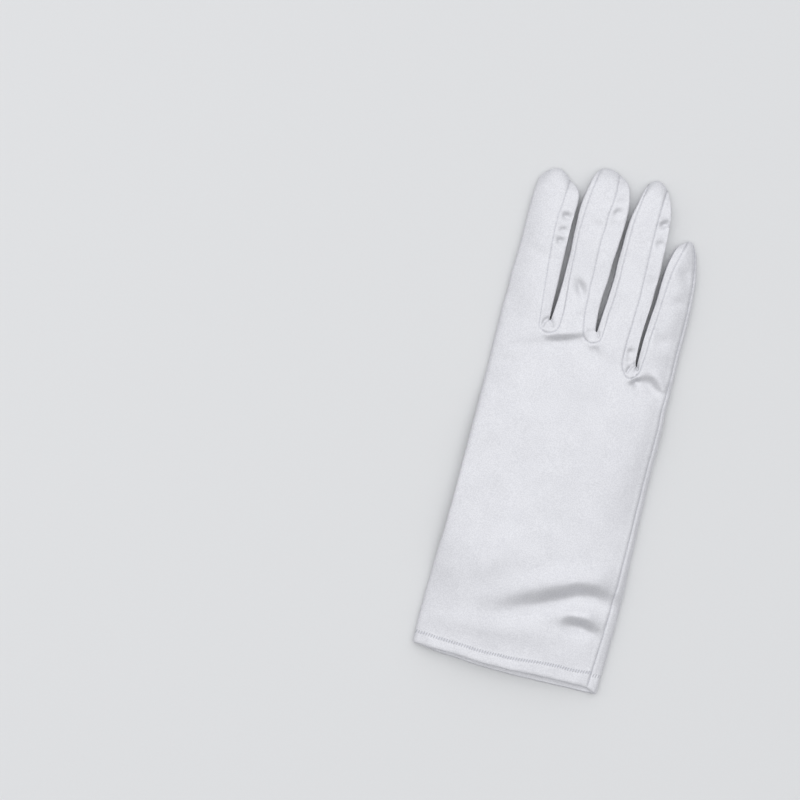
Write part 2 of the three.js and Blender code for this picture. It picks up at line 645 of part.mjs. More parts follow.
// The oval way between palm and thumb, as an upright prism between two heights
function thumbHole(bottom, top) {
  const oval = new THREE.Shape();
  oval.absellipse(0, 0, THUMB_HOLE_WIDTH / 2, THUMB_HOLE_LENGTH / 2, 0, 2 * Math.PI);
  const size = { depth: top - bottom, bevelEnabled: false, curveSegments: HOLE_SEGMENTS };
  const prism = new THREE.ExtrudeGeometry(oval, size);
  const along = THUMB_HOLE_AT * THUMB_LENGTH;
  prism.rotateZ(thumbTurn);
  prism.translate(THUMB_ROOT_X + thumbAxis.x * along, THUMB_ROOT_Y + thumbAxis.y * along, bottom);
  const skin = makeSkin();
  const corners = prism.getAttribute("position");
  for (let k = 0; k < corners.count; k += 3) {
    const ids = [0, 1, 2].map((n) => vertex(skin, new THREE.Vector3().fromBufferAttribute(corners, k + n)));
    skin.triangles.push({ ids });
  }
  return solid(skin.points, skin.triangles.map(({ ids }) => ids));
}

// The skin of hand and fingers
const skin = makeSkin();
const back = backRows();
const palm = palmRows(back);
const hemBand = (r) => (r === 0 ? "hem" : "");
addGrid(skin, "back", back, true, hemBand);
addGrid(skin, "palm", palm, false, hemBand);
hand.forEach((finger) => {
  addGrid(skin, `${finger.name}_back`, fingerShares.map((at) => fingerBackRow(finger, at)), true);
  addGrid(skin, `${finger.name}_palm`, fingerShares.map((at) => fingerPalmRow(finger, at)), false);
});
ROOTS.forEach(({ name }, k) => addGrid(skin, name, fourchetteRows(k), false));
const steps = inwardSteps(skin);
const mouth = new Set([...back[0], ...palm[0]].map((p) => vertex(skin, p)));
const indexBack = fingerShares.map((at) => fingerBackRow(hand[0], at));
const folded = new Set([...back, ...indexBack].map((row) => vertex(skin, row[0])));

const leafTriangles = (...leaves) => skin.triangles.filter(({ leaf }) => leaves.includes(leaf));

// The pieces
const palmTop = THUMB_THICKNESS + SEAM_GAP + CLOTH;
const wayToThumb = thumbHole(-CLOTH, palmTop + CLOTH);
const trank = clothSolid(skin, steps, leafTriangles("back", "palm"), { folded, mouth }).subtract(wayToThumb);

// The folded finger's two sides are one solid, and every other finger's back and palm side are two
const fingerCloths = hand.flatMap((finger) => {
  const sides = [`${finger.name}_back`, `${finger.name}_palm`];
  const cloths = finger.folded ? [{ name: finger.name, leaves: sides }]
    : sides.map((side) => ({ name: side, leaves: [side] }));
  return cloths.map(({ name, leaves }) => ({
    name: `trank_${name}`,
    body: clothSolid(skin, steps, leafTriangles(...leaves), { folded }),
  }));
});

const hemTriangles = skin.triangles.filter(({ band }) => band === "hem");
const hemPoints = new Set(hemTriangles.flatMap(({ ids }) => ids));
const cuffHem = clothSolid(skin, steps, hemTriangles, {
  near: CLOTH + SEAM_GAP,
  far: 2 * CLOTH + SEAM_GAP,
  folded: hemPoints,
  mouth: hemPoints,
});

const fourchettes = ROOTS.map(({ name }) => ({
  name: `fourchette_${name}`,
  body: clothSolid(skin, steps, leafTriangles(name), {}),
}));

const thumbOuter = thumbSkin();
const thumbSteps = inwardSteps(thumbOuter);
const thumbFaces = thumbOuter.triangles.map(({ ids }) => ids);
const thumbInner = thumbOuter.points.map((p, id) => p.clone().addScaledVector(thumbSteps[id], CLOTH));
const thumb = solid(thumbOuter.points, thumbFaces)
  .subtract(solid(thumbInner, thumbFaces))
  .subtract(thumbHole(THUMB_THICKNESS / 2, THUMB_THICKNESS + CLOTH));

const satin = new THREE.MeshStandardMaterial({ name: "satin", color: 0xdee0e6, roughness: 0.42 });

function meshOf(name, body) {
  const { vertProperties, triVerts } = body.getMesh();
  const geometry = new THREE.BufferGeometry();
  geometry.setAttribute("position", new THREE.BufferAttribute(vertProperties, 3));
  geometry.setIndex(new THREE.BufferAttribute(triVerts, 1));
  geometry.computeVertexNormals();
  const mesh = new THREE.Mesh(geometry, satin.clone());
  mesh.name = name;
  return mesh;
}

// The origin is the middle of the glove's footprint, on the surface that it lies on
const glove = new THREE.Group();
glove.add(meshOf("trank", trank), meshOf("cuff_hem", cuffHem), meshOf("thumb", thumb));
for (const { name, body } of [...fingerCloths, ...fourchettes]) glove.add(meshOf(name, body));
const box = new THREE.Box3().setFromObject(glove);
const middle = box.getCenter(new THREE.Vector3());
glove.position.set(-middle.x, -middle.y, -box.min.z);

const part = new THREE.Group();
part.name = "wrist_length_glove";
part.add(glove);
export default part;
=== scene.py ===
"""A wrist length dress glove of satin, lying palm down on a pale surface.

The hand piece is one cloth folded round the index side and sewn down the little finger side. A strip of
cloth, the fourchette, is sewn between each two fingers. The tables hold millimetres, or shares of named
sizes, measured from the middle of the palm and from the hem, as in the CAD source. Meshes are in metres.
"""

import math

import bpy
import numpy as np
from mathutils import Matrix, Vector


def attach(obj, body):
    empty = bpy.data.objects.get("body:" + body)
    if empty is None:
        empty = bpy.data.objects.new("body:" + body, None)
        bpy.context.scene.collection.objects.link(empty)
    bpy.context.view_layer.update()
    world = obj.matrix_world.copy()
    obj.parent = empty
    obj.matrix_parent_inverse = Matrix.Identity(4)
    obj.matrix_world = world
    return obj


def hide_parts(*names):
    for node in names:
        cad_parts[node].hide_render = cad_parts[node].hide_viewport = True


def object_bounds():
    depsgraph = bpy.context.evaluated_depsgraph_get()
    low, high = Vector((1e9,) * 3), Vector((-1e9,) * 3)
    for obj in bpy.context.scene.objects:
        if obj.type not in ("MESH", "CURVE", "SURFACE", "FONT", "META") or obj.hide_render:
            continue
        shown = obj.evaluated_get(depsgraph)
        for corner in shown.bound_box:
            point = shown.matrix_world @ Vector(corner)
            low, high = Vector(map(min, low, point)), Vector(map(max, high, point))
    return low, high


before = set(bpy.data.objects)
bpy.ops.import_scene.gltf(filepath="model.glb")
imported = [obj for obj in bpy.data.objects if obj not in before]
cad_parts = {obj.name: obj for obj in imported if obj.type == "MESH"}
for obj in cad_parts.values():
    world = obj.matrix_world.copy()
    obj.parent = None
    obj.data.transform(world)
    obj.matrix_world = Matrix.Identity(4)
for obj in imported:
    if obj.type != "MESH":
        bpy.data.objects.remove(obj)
cad_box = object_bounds()

MM = 0.001
CLOTH = 0.45  # thickness of the satin
LIP = 0.5  # radius of the turned edge at the mouth
EDGE = 3.5  # height of the glove along its folded edge
MID = EDGE / 2

PALM_LENGTH = 152.4
PALM_WIDTH = 83.4
HALF_PALM = PALM_WIDTH / 2
CUFF_WIDTH = 1.036 * PALM_WIDTH
BODY_HEIGHT = 8.6
CUFF_HEIGHT = 6.4
HEM_DEPTH = 5.0
FINGER_HEIGHT = 8.0

THUMB_LENGTH = 72
THUMB_WIDTH = 34
THUMB_THICKNESS = 3.2
THUMB_TURN = math.radians(52)
THUMB_ROOT = (-32, 66)
THUMB_MARGIN = 5
THUMB_SLOPE = 32
THUMB_CLEARANCE = 0.3
THUMB_FADE = (127, 24)  # where the palm starts to come down towards the roots, and over what length

# Roots between fingers, in palm widths
ROOTS = [
    {"name": "index_middle", "drop": 0.0, "rise": 0.054, "sag": 0.0216},
    {"name": "middle_ring", "drop": 0.0, "rise": 0.0516, "sag": 0.0204},
    {"name": "ring_little", "drop": 0.1187, "rise": 0.0384, "sag": 0.0396},
]

# Fingers: width in palm widths, length in palm lengths, heights of the tip's corners in lengths.
# Each section is (share of the length, outer edge, seam, seam, outer edge) in root widths, left to right.
FINGERS = [
    {
        "name": "index", "width": 0.265, "length": 0.471, "tip_l": 0.914, "tip_r": 0.946,
        "sections": [
            (0.0, 0.0, 0.0, 0.81, 0.986),
            (0.03, 0.002, 0.002, 0.791, 0.989),
            (0.2, 0.012, 0.012, 0.752, 0.99),
            (0.48, 0.032, 0.032, 0.674, 0.975),
            (0.68, 0.042, 0.042, 0.652, 0.975),
            (0.86, 0.052, 0.052, 0.683, 0.985),
            (0.94, 0.064, 0.064, 0.703, 0.93),
            (1.0, 0.086, 0.086, 0.715, 0.715),
        ],
    },
    {
        "name": "middle", "width": 0.258, "length": 0.507, "tip_l": 0.985, "tip_r": 0.98,
        "sections": [
            (0.0, 0.014, 0.172, 0.767, 0.986),
            (0.03, 0.022, 0.214, 0.735, 0.975),
            (0.14, 0.056, 0.237, 0.674, 0.96),
            (0.35, 0.065, 0.181, 0.651, 1.0),
            (0.55, 0.06, 0.153, 0.651, 1.037),
            (0.75, 0.05, 0.167, 0.674, 1.068),
            (0.88, 0.116, 0.214, 0.715, 1.023),
            (0.95, 0.186, 0.251, 0.707, 0.935),
            (1.0, 0.288, 0.288, 0.7, 0.7),
        ],
    },
    {
        "name": "ring", "width": 0.258, "length": 0.506, "tip_l": 0.968, "tip_r": 0.958,
        "sections": [
            (0.0, 0.014, 0.112, 0.735, 0.986),
            (0.03, 0.02, 0.14, 0.697, 0.96),
            (0.14, 0.055, 0.167, 0.684, 0.949),
            (0.35, 0.1, 0.209, 0.712, 0.991),
            (0.55, 0.105, 0.212, 0.714, 1.026),
            (0.75, 0.13, 0.219, 0.702, 0.986),
            (0.88, 0.219, 0.27, 0.716, 0.944),
            (0.95, 0.279, 0.316, 0.735, 0.85),
            (1.0, 0.349, 0.349, 0.753, 0.753),
        ],
    },
    {
        "name": "little", "width": 0.219, "length": 0.354, "tip_l": 0.99, "tip_r": 0.98,
        "sections": [
            (0.0, 0.016, 0.093, 0.902, 1.0),
            (0.03, 0.002, 0.115, 0.903, 1.0),
            (0.14, 0.002, 0.142, 0.907, 1.0),
            (0.35, 0.04, 0.191, 0.916, 1.0),
            (0.55, 0.087, 0.23, 0.905, 0.989),
            (0.75, 0.12, 0.295, 0.863, 0.937),
            (0.88, 0.197, 0.388, 0.787, 0.838),
            (0.95, 0.295, 0.45, 0.725, 0.765),
            (1.0, 0.497, 0.497, 0.672, 0.672),
        ],
    },
]

# Height of a finger at shares of its length, in finger heights
FINGER_PUFF = [(0.0, 1.0), (0.35, 0.93), (0.75, 0.88), (0.9, 0.78), (1.0, 0.62)]

# The strip between two fingers: almost flat from its seam over a share of its width, dropping by a share
# of its height, and then round and steep down to its outermost line
STRIP_FLAT = 0.95
STRIP_DROP = 0.1

# Outline: share of the palm's length, of the cuff's flare, skew of the left and the right edge, seam's inset
OUTLINE = [
    (0.0, 1.0, 1.032, 0.97, 0.056),
    (0.13, 0.97, 1.03, 0.99, 0.052),
    (0.27, 0.7, 1.02, 1.007, 0.048),
    (0.43, 0.35, 1.012, 1.01, 0.037),
    (0.66, 0.1, 1.004, 1.005, 0.03),
    (1.0, 0.0, 1.0, 1.0, 0.0215),
]

# The mouth's edge from the folded to the sewn side: share across, back and palm in hem depths
MOUTH = [(0.0, 0.1, 0.1), (0.15, 0.0, -0.36), (0.5, -0.2, -0.68), (0.8, -0.08, -0.66), (1.0, -0.08, -0.56)]

# The row of hem stitches: share across the back, height
HEM_LINE = [(0.0, 5.2), (0.2, 4.3), (0.38, 3.7), (0.5, 3.8), (0.62, 4.3), (0.8, 5.4), (0.9, 5.2), (1.0, 6.0)]

# Folds: place in half palm widths and palm lengths, turn in degrees, reach and spread in palm widths,
# rise in body heights, and how far the ends bend down
FOLDS = [
    (0.36, 0.292, 20, 0.31, 0.066, 0.15, 0.1),
    (0.36, 0.222, 20, 0.3, 0.06, -0.13, 0.1),
    (0.66, 0.2, 6, 0.12, 0.038, 0.06, 0.1),
    (0.64, 0.158, 4, 0.12, 0.036, -0.1, 0.1),
    (-0.32, 0.962, 14, 0.11, 0.034, -0.05, 0),
    (-0.72, 0.94, 14, 0.14, 0.045, -0.03, 0),
    (-0.84, 0.88, 8, 0.09, 0.035, -0.03, 0),
    (0.62, 0.9, -10, 0.05, 0.036, -0.1, 0),
    (0.8, 0.905, -35, 0.075, 0.032, -0.08, 0),
    (-0.9, 0.66, 40, 0.16, 0.08, 0.08, 0),
    (-0.45, 0.3, 25, 0.32, 0.1, 0.09, 0),
    (-0.35, 0.1, 8, 0.3, 0.06, 0.07, 0),
]

# Creases along a line of (x, y, strength): the cloth steps down towards the cuff over a width, by a height
CREASES = [
    {"height": 2.9, "width": 4.0, "line": [
        (-26, 23, 0.03), (-14, 26.5, 0.07), (-2, 30, 0.2), (7, 33.5, 0.5), (14, 37.3, 0.8),
        (22, 41, 1.0), (30, 42.3, 0.85), (37.5, 41, 0.4)]},
    {"height": 3.4, "width": 3.0, "line": [
        (18, 26.5, 0.1), (23, 27, 0.8), (28, 27, 1.0), (33, 25.5, 0.5), (37, 23.5, 0.1)]},
    {"height": 2.0, "width": 2.3, "line": [
        (-20.5, 147.8, 0.1), (-17, 148.8, 0.7), (-11, 150.6, 1.0), (-5, 152.6, 0.6)]},
    {"height": 0.9, "width": 3.4, "line": [(-3, 146.5, 0.3), (4, 147.5, 1.0), (11, 146, 0.3)]},
    {"height": 0.35, "width": 2.4, "line": [(-38, 139, 0.3), (-31, 143, 1.0), (-24, 145.5, 0.7)]},
    {"height": 0.3, "width": 2.5, "line": [(-39, 134, 0.6), (-35, 136, 1.0), (-30, 138.5, 0.3)]},
    {"height": 1.2, "width": 1.5, "line": [(23, 137.6, 0.3), (25.1, 138.6, 1.0), (27, 139.8, 0.4)]},
    {"height": 2.2, "width": 2.7, "line": [
        (26.5, 142.5, 0.1), (29, 142.3, 0.6), (32, 141, 1.0), (35.4, 138, 0.9), (37.6, 135.5, 0.2)]},
    {"height": 0.3, "width": 3.2, "line": [
        (-41, 84, 0.3), (-37.5, 91, 1.0), (-33, 98, 1.0), (-27, 102, 0.3)]},
]
# A crease's section in its widths: how steep it is, how soon it settles, and how far it is worked out
CREASE_STEEPNESS = 1.65
CREASE_SETTLING = 0.45
CREASE_FADING = 0.08
CREASE_REACH = 6

# Dents in the cloth: x, y, half length, half width, turn in degrees, depth
DENTS = [
    (-9.6, 173.6, 4.0, 2.1, -55, 1.75),
    (-7.3, 161, 2.08, 1.56, 20, 0.42),
    (-9, 202.8, 2.86, 2.08, -20, 0.51),
    (-7.8, 214.8, 2.34, 1.82, -30, 0.42),
    (-31.5, 184.5, 5.2, 3.38, -20, 0.42),
    (-31, 207, 6.5, 3.9, 20, 0.42),
    (25.1, 138.6, 2.08, 1.3, 35, 1.36),
    (32, 158.5, 4.2, 3.2, -10, 0.8),
    (35, 191, 3.9, 2.6, -60, 0.59),
    (34.5, 178, 3.38, 2.6, 0, 0.42),
    (2.4, 147.5, 2.6, 2.08, 0, 0.42),
    (-23.5, 203.6, 2.1, 1.6, 0, 1.35),
    (-23.4, 197.2, 1.8, 1.3, 0, 0.95),
    (-23.6, 192.2, 1.9, 1.6, 0, 1.2),
    (-1.2, 210.6, 2.4, 1.5, 55, 1.15),
    (-1.0, 216.2, 1.95, 1.3, 20, 0.42),
    (-1.4, 205.5, 1.69, 1.56, 0, 0.42),
    (20.2, 210.6, 2.5, 1.4, 35, 1.6),
    (20.8, 201.5, 2.1, 1.8, 0, 0.95),
    (21.6, 184.2, 1.82, 1.82, 0, 0.42),
    (19.3, 150.9, 1.95, 1.43, 30, 1.02),
    (19.8, 147.4, 1.82, 1.17, 10, 0.68),
]

# Fine creases of the three webs, from the end of the gap: points, depth
WEB_CREASES = [
    ([(-19.7, 157), (-21.3, 156.2), (-22.3, 154.6), (-22.2, 153)], 0.68),
    ([(-19.3, 156.6), (-18.6, 155.2), (-17.6, 154.2)], 0.51),
    ([(1.8, 156.6), (3.0, 155.6), (3.3, 154.2)], 0.59),
    ([(-1.8, 155.4), (-0.5, 155.8), (0.5, 156)], 0.42),
    ([(22.9, 146.2), (21.6, 145.2), (20.4, 143.4), (20.0, 141.6)], 0.94),
    ([(22.8, 146.6), (23.6, 145.2), (24.2, 144.2)], 0.77),
]
WEB_CREASE_WIDTH = 0.65

# The thumb: share of its length, half width in thumb widths, thickness in thumb thicknesses
THUMB = [
    (0.0, 0.2, 0.75), (0.04, 0.35, 0.95), (0.13, 0.47, 1.0), (0.25, 0.5, 1.0), (0.38, 0.48, 1.0),
    (0.52, 0.42, 1.0), (0.68, 0.37, 1.0), (0.84, 0.33, 1.0), (0.95, 0.24, 0.95), (1.0, 0.13, 0.75),
]
THUMB_HOLE_AT = 0.23
THUMB_HOLE = (17, 30)
THUMB_UNEVENNESS = (0.06, 10, 7)

# Shape of the sections: a thin round edge, and how fast the back swells inwards from it
EDGE_FLATNESS = 70
EDGE_SHARE = 0.25
BODY_SWELL = 2.9
FINGER_SWELL = 2.0
BULGE = 0.02
FINGER_BLEND = 0.25
TIP_START = 0.9
ARCH_START = 0.75
UNDER_SEAM = 0.3
WEB_DIP = 0.4
CROWN_LIFT = 0.85

# How much closer together rows and columns stand towards an end, as powers of their shares
BODY_CROWDING = 1.25
FINGER_CROWDING = 1.2
FOLD_CROWDING = 1.9
SEAM_CROWDING = 0.75  # between two seams, as a share of a half circle's

# How fine the cloth is: rows and columns of its grids
BODY_ROWS = 150
FINGER_ROWS = 92
BACK_COLUMNS = [34, 22, 22, 22]
PALM_COLUMNS = [9, 7, 7, 8]
BACK_WEB = 12
PALM_WEB = 4
RIM = 8
FLANK = 12
STRIP_COLUMNS = 9
STRIP_BELOW = 5
ARC_ROWS = 26
LIP_ROWS = 5
THUMB_ROWS = 70
THUMB_SIDE = 8
THUMB_TOP = 25
THUMB_BOTTOM = 11

# Seams: a groove beside a low shoulder, and puckers between the stitches
GROOVE_DEPTH = 0.07
GROOVE_WIDTH = 0.35
SHOULDER = 0.1
SHOULDER_AT = 1.3
SHOULDER_WIDTH = 0.7
PUCKER = 0.07
PUCKER_PITCH = 3.4
PUCKER_REACH = 2.2
PUCKER_DRIFT = (9, 3)  # length over which the puckers' rhythm drifts, and how far in radians
SEAM_REACH = 50

# Stitches: pitch, length, radius, and how far out of the cloth
STITCH_PITCH = 1.5
SEAM_STITCH = (0.6 * STITCH_PITCH, 0.09, 0.0)
HEM_PITCH = 1.2
HEM_STITCH = (1.3, 0.13, 0.02)
HEM_SLANT = 0.28
HEM_ENDS = (1, 0.6)  # how far in from the folded edge and from the side seam its stitches stand
STITCH_SIDES = 6
STITCH_RINGS = 5
STITCH_ARCH = 0.6
STITCH_END = 0.45  # how thick the thread is at its ends

# The hem: how far the turned cloth lifts the outer one below its stitches
HEM_LIFT = 0.25
HEM_FADE = 0.8
HEM_GAP = 0.05

# Relief fades in from the mouth's edge over a length, from a share on, and so does the hem's lift
RELIEF_FADE = (4, 0.3)
HEM_START = (2, 1)
# A strip takes relief where its face looks up: the steepness of that change, and its offset
STRIP_FACING = (1.6, 0.4)

# Unevenness of the cloth: height, length over which it changes, seed
WAVES = 9
WAVE_LENGTHS = (1.1, 2.6)
UNEVENNESS = [(0.12, 24, 1), (0.035, 8, 2)]
STRIP_UNEVENNESS = (0.05, 9, 4)
HEM_UNEVENNESS = (0.16, 4, 12)
HEM_STRETCH = (1, 0.4, 0)  # how the hem's puckers are drawn out up the cloth
STRAYS = [(0.12, 14, 0), (0.06, 5, 1)]
STRAY_SEEDS = (21, 31)

FAR = 1e3  # a distance beyond every seam's effect

# How closely seams, creases and the webs' fine creases are followed
SEAM_STEP = 0.25
CREASE_STEP = 0.5
WEB_CREASE_STEP = 0.15


def mix(a, b, t):
    """The value at a share of the way from one to another."""
    return a + (b - a) * t


def clamp(t):
    """A share, kept from 0 to 1."""
    return np.clip(t, 0.0, 1.0)


def smooth(t):
    """A share that starts and ends gently."""
    t = clamp(t)
    return t * t * (3 - 2 * t)


def unit(vectors):
    """Vectors of length 1 in the same directions."""
    return vectors / np.maximum(np.linalg.norm(vectors, axis=-1, keepdims=True), 1e-9)


def turned(dx, dy, turn):
    """How far a place lies along and across a direction."""
    return dx * math.cos(turn) + dy * math.sin(turn), dy * math.cos(turn) - dx * math.sin(turn)


def pick(table, at, column):
    """A column of a table at shares, on a smooth curve through its rows."""
    ats = np.array([row[0] for row in table], float)
    values = np.array([row[column] for row in table], float)
    at = np.asarray(at, float)
    count = len(ats)
    row = np.clip(np.searchsorted(ats, at, side="left") - 1, 0, count - 2)
    low = np.maximum(np.arange(count) - 1, 0)
    high = np.minimum(np.arange(count) + 1, count - 1)
    slopes = (values[high] - values[low]) / (ats[high] - ats[low])
    span = ats[row + 1] - ats[row]
    t = clamp((at - ats[row]) / span)
    bend = (1 - t) ** 2 * t * span * slopes[row] - t * t * (1 - t) * span * slopes[row + 1]
    return mix(values[row], values[row + 1], smooth(t)) + bend


def made_hand():
    """Where each finger stands: its left side, and the heights of its roots and of its tip's corners."""
    hand, left = [], -HALF_PALM
    for k, finger in enumerate(FINGERS):
        root_l = ROOTS[k - 1] if k else {"drop": 0, "rise": 0}
        root_r = ROOTS[k] if k < len(ROOTS) else {"drop": root_l["drop"], "rise": 0}

        def height(root, rise):
            return PALM_LENGTH + (rise - root["drop"]) * PALM_WIDTH

        def tip(share, finger=finger):
            return PALM_LENGTH * (1 + finger["length"] * share)

        hand.append({
            "sections": finger["sections"],
            "left": left,
            "width": finger["width"] * PALM_WIDTH,
            "root_l": height(root_l, 0),
            "root_r": height(root_r, 0),
            "web_l": height(root_l, root_l["rise"]),
            "web_r": height(root_r, root_r["rise"]),
            "tip_l": tip(finger["tip_l"]),
            "tip_r": tip(finger["tip_r"]),
            "arch": tip(1) - (tip(finger["tip_l"]) + tip(finger["tip_r"])) / 2,
            "folded": k == 0,
            "sewn": k == len(FINGERS) - 1,
        })
        left += finger["width"] * PALM_WIDTH
    return hand


HAND = made_hand()


def outline(y):
    """The hand's left edge, right edge and side seam at a height y."""
    at = clamp(np.asarray(y, float) / PALM_LENGTH)
    half = mix(HALF_PALM, CUFF_WIDTH / 2, pick(OUTLINE, at, 1))
    left = -half * pick(OUTLINE, at, 2)
    right = half * pick(OUTLINE, at, 3)
    return left, right, right - PALM_WIDTH * pick(OUTLINE, at, 4)


def lift(x, y):
    """How high the palm is lifted by the thumb under it."""
    along, across = turned(x - THUMB_ROOT[0], y - THUMB_ROOT[1], THUMB_TURN)
    share = clamp(along / THUMB_LENGTH)
    half = THUMB_WIDTH * pick(THUMB, share, 1)
    clear = np.hypot(along - share * THUMB_LENGTH, across) - half - THUMB_MARGIN
    fade = 1 - smooth((y - THUMB_FADE[0]) / THUMB_FADE[1])
    return (THUMB_THICKNESS + THUMB_CLEARANCE) * (1 - smooth(clear / THUMB_SLOPE)) * fade


def folds(x, y):
    """The sum of the broad folds at a place on the back."""
    total = 0
    for at_x, at_y, turn, reach, spread, rise, bend in FOLDS:
        along, across = turned(x - at_x * HALF_PALM, y - at_y * PALM_LENGTH, math.radians(turn))
        along = along / (reach * PALM_WIDTH)
        across = (across + bend * along * along * reach * PALM_WIDTH) / (spread * PALM_WIDTH)
        total = total + rise * BODY_HEIGHT * np.exp(-along * along - across * across)
    return total


def rounded(share, swell):
    """Height, from 0 at an edge to 1, at a share of the way in from it."""
    left = 1 - clamp(share)
    return EDGE_SHARE * np.sqrt(clamp(1 - left**EDGE_FLATNESS)) + (1 - EDGE_SHARE) * (1 - left**swell)


def body_top(x, y):
    """Height of the back of the hand."""
    left, right, _ = outline(y)
    inwards = 1 - np.abs(x - (left + right) / 2) / ((right - left) / 2)
    crown = rounded(inwards, BODY_SWELL)
    high = mix(CUFF_HEIGHT, BODY_HEIGHT, smooth(y / HALF_PALM))
    return MID + (high - MID + folds(x, y)) * crown + lift(x, y) * (1 - CROWN_LIFT * crown)


def opening(at):
    """How open a finger still is at a share of its length."""
    return np.sqrt(1 - clamp((at - TIP_START) / (1 - TIP_START)) ** 2)


def finger_height(finger, at, x, y):
    """Height of a finger's back at places of a row across it."""
    edge_l, seam_l, seam_r, edge_r = (corner[0] for corner in section(finger, at))
    high = FINGER_HEIGHT * pick(FINGER_PUFF, at, 1)
    if finger["folded"]:
        top = MID + (high - MID) * rounded((x - edge_l) / max(seam_r - edge_l, MM), FINGER_SWELL)
    elif finger["sewn"]:
        top = MID + (high - MID) * rounded((edge_r - x) / max(edge_r - seam_l, MM), FINGER_SWELL)
    else:
        across = clamp((x - seam_l) / max(seam_r - seam_l, MM))
        top = high * (1 + BULGE * 4 * across * (1 - across))
    return MID + (mix(body_top(x, y), top, smooth(at / FINGER_BLEND)) - MID) * opening(at)


def section(finger, at):
    """A finger's outermost edges and seams at a share of its length: four points, left to right."""
    xs = [finger["left"] + finger["width"] * pick(finger["sections"], at, c) for c in (1, 2, 3, 4)]
    ends = [("web_l", "tip_l"), ("root_l", "tip_l"), ("root_r", "tip_r"), ("web_r", "tip_r")]
    return [np.array([x, mix(finger[root], finger[tip], at)]) for x, (root, tip) in zip(xs, ends)]


def spread(count, crowd=0.0):
    """Shares from 0 to 1, crowded towards both ends by a share."""
    t = np.linspace(0, 1, count + 1)
    return mix(t, (1 - np.cos(math.pi * t)) / 2, crowd)


def between(start, end, shares, arch):
    """Places of a row of cloth between two points, arched towards the tip."""
    x = mix(start[0], end[0], shares)
    y = mix(start[1], end[1], shares) + 4 * arch * shares * (1 - shares)
    return x, y


def arch_at(finger, at):
    """How far a finger's row bows towards its tip."""
    return finger["arch"] * smooth((at - ARCH_START) / (1 - ARCH_START))


def row_of(x, y, z):
    """Points of a row from its coordinates, each of them a list or one number."""
    return np.stack([np.broadcast_to(v, np.shape(x)) for v in (x, y, z)], axis=-1)


def rim(x, y, base, wide, high, side):
    """The lower half of a round edge beside x, from its outermost line inwards."""
    turn = np.linspace(0, math.pi / 2, RIM + 1)
    return row_of(x + side * wide * (1 - np.cos(turn)), y, base + MID - high * np.sin(turn))


def finger_back_row(finger, k, at):
    """One row of a finger's back, from its left fold or seam to its right seam."""
    edge_l, seam_l, seam_r, _ = section(finger, at)
    shares = spread(BACK_COLUMNS[k], SEAM_CROWDING)
    if finger["folded"]:
        shares = np.linspace(0, 1, BACK_COLUMNS[k] + 1) ** FOLD_CROWDING
    x, y = between(edge_l if finger["folded"] else seam_l, seam_r, shares, arch_at(finger, at))
    row = row_of(x, y, finger_height(finger, at, x, y))
    if finger["folded"]:
        row[0, 2] = MID
    return row


def finger_palm_row(finger, k, at):
    """One row of a finger's palm side, from its left fold or seam to its right seam or the side seam."""
    edge_l, seam_l, seam_r, edge_r = section(finger, at)
    wide = MID * opening(at)
    wide_r = min(wide, max(0.0, edge_r[0] - seam_r[0]))
    start = edge_l + (wide, 0) if finger["folded"] else mix(edge_l, seam_l, UNDER_SEAM)
    end = edge_r - (wide_r, 0) if finger["sewn"] else mix(edge_r, seam_r, UNDER_SEAM)
    x, y = between(start, end, spread(PALM_COLUMNS[k]), arch_at(finger, at))
    row = row_of(x, y, MID * (1 - opening(at)))
    high = MID * opening(at)
    if finger["folded"]:
        row = np.vstack([rim(edge_l[0], edge_l[1], 0, wide, high, 1)[:-1], row])
    if not finger["sewn"]:
        return row
    below = rim(edge_r[0], edge_r[1], 0, wide_r, high, -1)[:-1][::-1]
    x, y = flank(edge_r, seam_r)
    return np.vstack([row, below, row_of(x, y, finger_height(finger, at, x, y))])


def flank(edge, seam):
    """Places from just inside the outermost line to the side seam, closer together at the outside."""
    share = np.linspace(0, 1, FLANK + 1)[1:] ** 2
    return mix(edge[0], seam[0], share), mix(edge[1], seam[1], share)


def web_row(k, share):
    """The seam round a root on the back, and the outermost line of the web inside it."""
    left, right = section(HAND[k], 0), section(HAND[k + 1], 0)
    side = 2 * share - 1
    seam = mix(left[2], right[1], share)
    edge = mix(left[3], right[0], share)
    seam = seam - (0, PALM_WIDTH * ROOTS[k]["sag"] * (1 - side * side))
    return seam, edge - (0, WEB_DIP * (1 - side * side))


def root_places(finger_places, web_place, columns):
    """The places at the roots, from the folded side to the sewn side."""
    places = []
    for k, finger in enumerate(HAND):
        places += [p[:2] for p in finger_places(finger, k)]
        if k < len(ROOTS):
            places += [web_place(k, share) for share in spread(columns)[1:-1]]
    return np.array(places)


def body_shares():
    """Shares of the palm's length for the body's rows, closer together towards the roots."""
    return 1 - (1 - np.linspace(0, 1, BODY_ROWS + 1)) ** BODY_CROWDING


def back_rows():
    """Rows of the back of the hand, from the folded edge to the side seam."""
    ends = root_places(
        lambda finger, k: finger_back_row(finger, k, 0),
        lambda k, share: web_row(k, share)[0],
        BACK_WEB,
    )
    shares = (ends[:, 0] - ends[0, 0]) / (ends[-1, 0] - ends[0, 0])
    rows = []
    for v in body_shares():
        left, _, seam = outline(v * PALM_LENGTH)
        x = ends[:, 0] if v == 1 else mix(left, seam, shares)
        y = mix(HEM_DEPTH * pick(MOUTH, shares, 1), ends[:, 1], v)
        rows.append(row_of(x, y, body_top(x, y)))
    return np.array(rows)


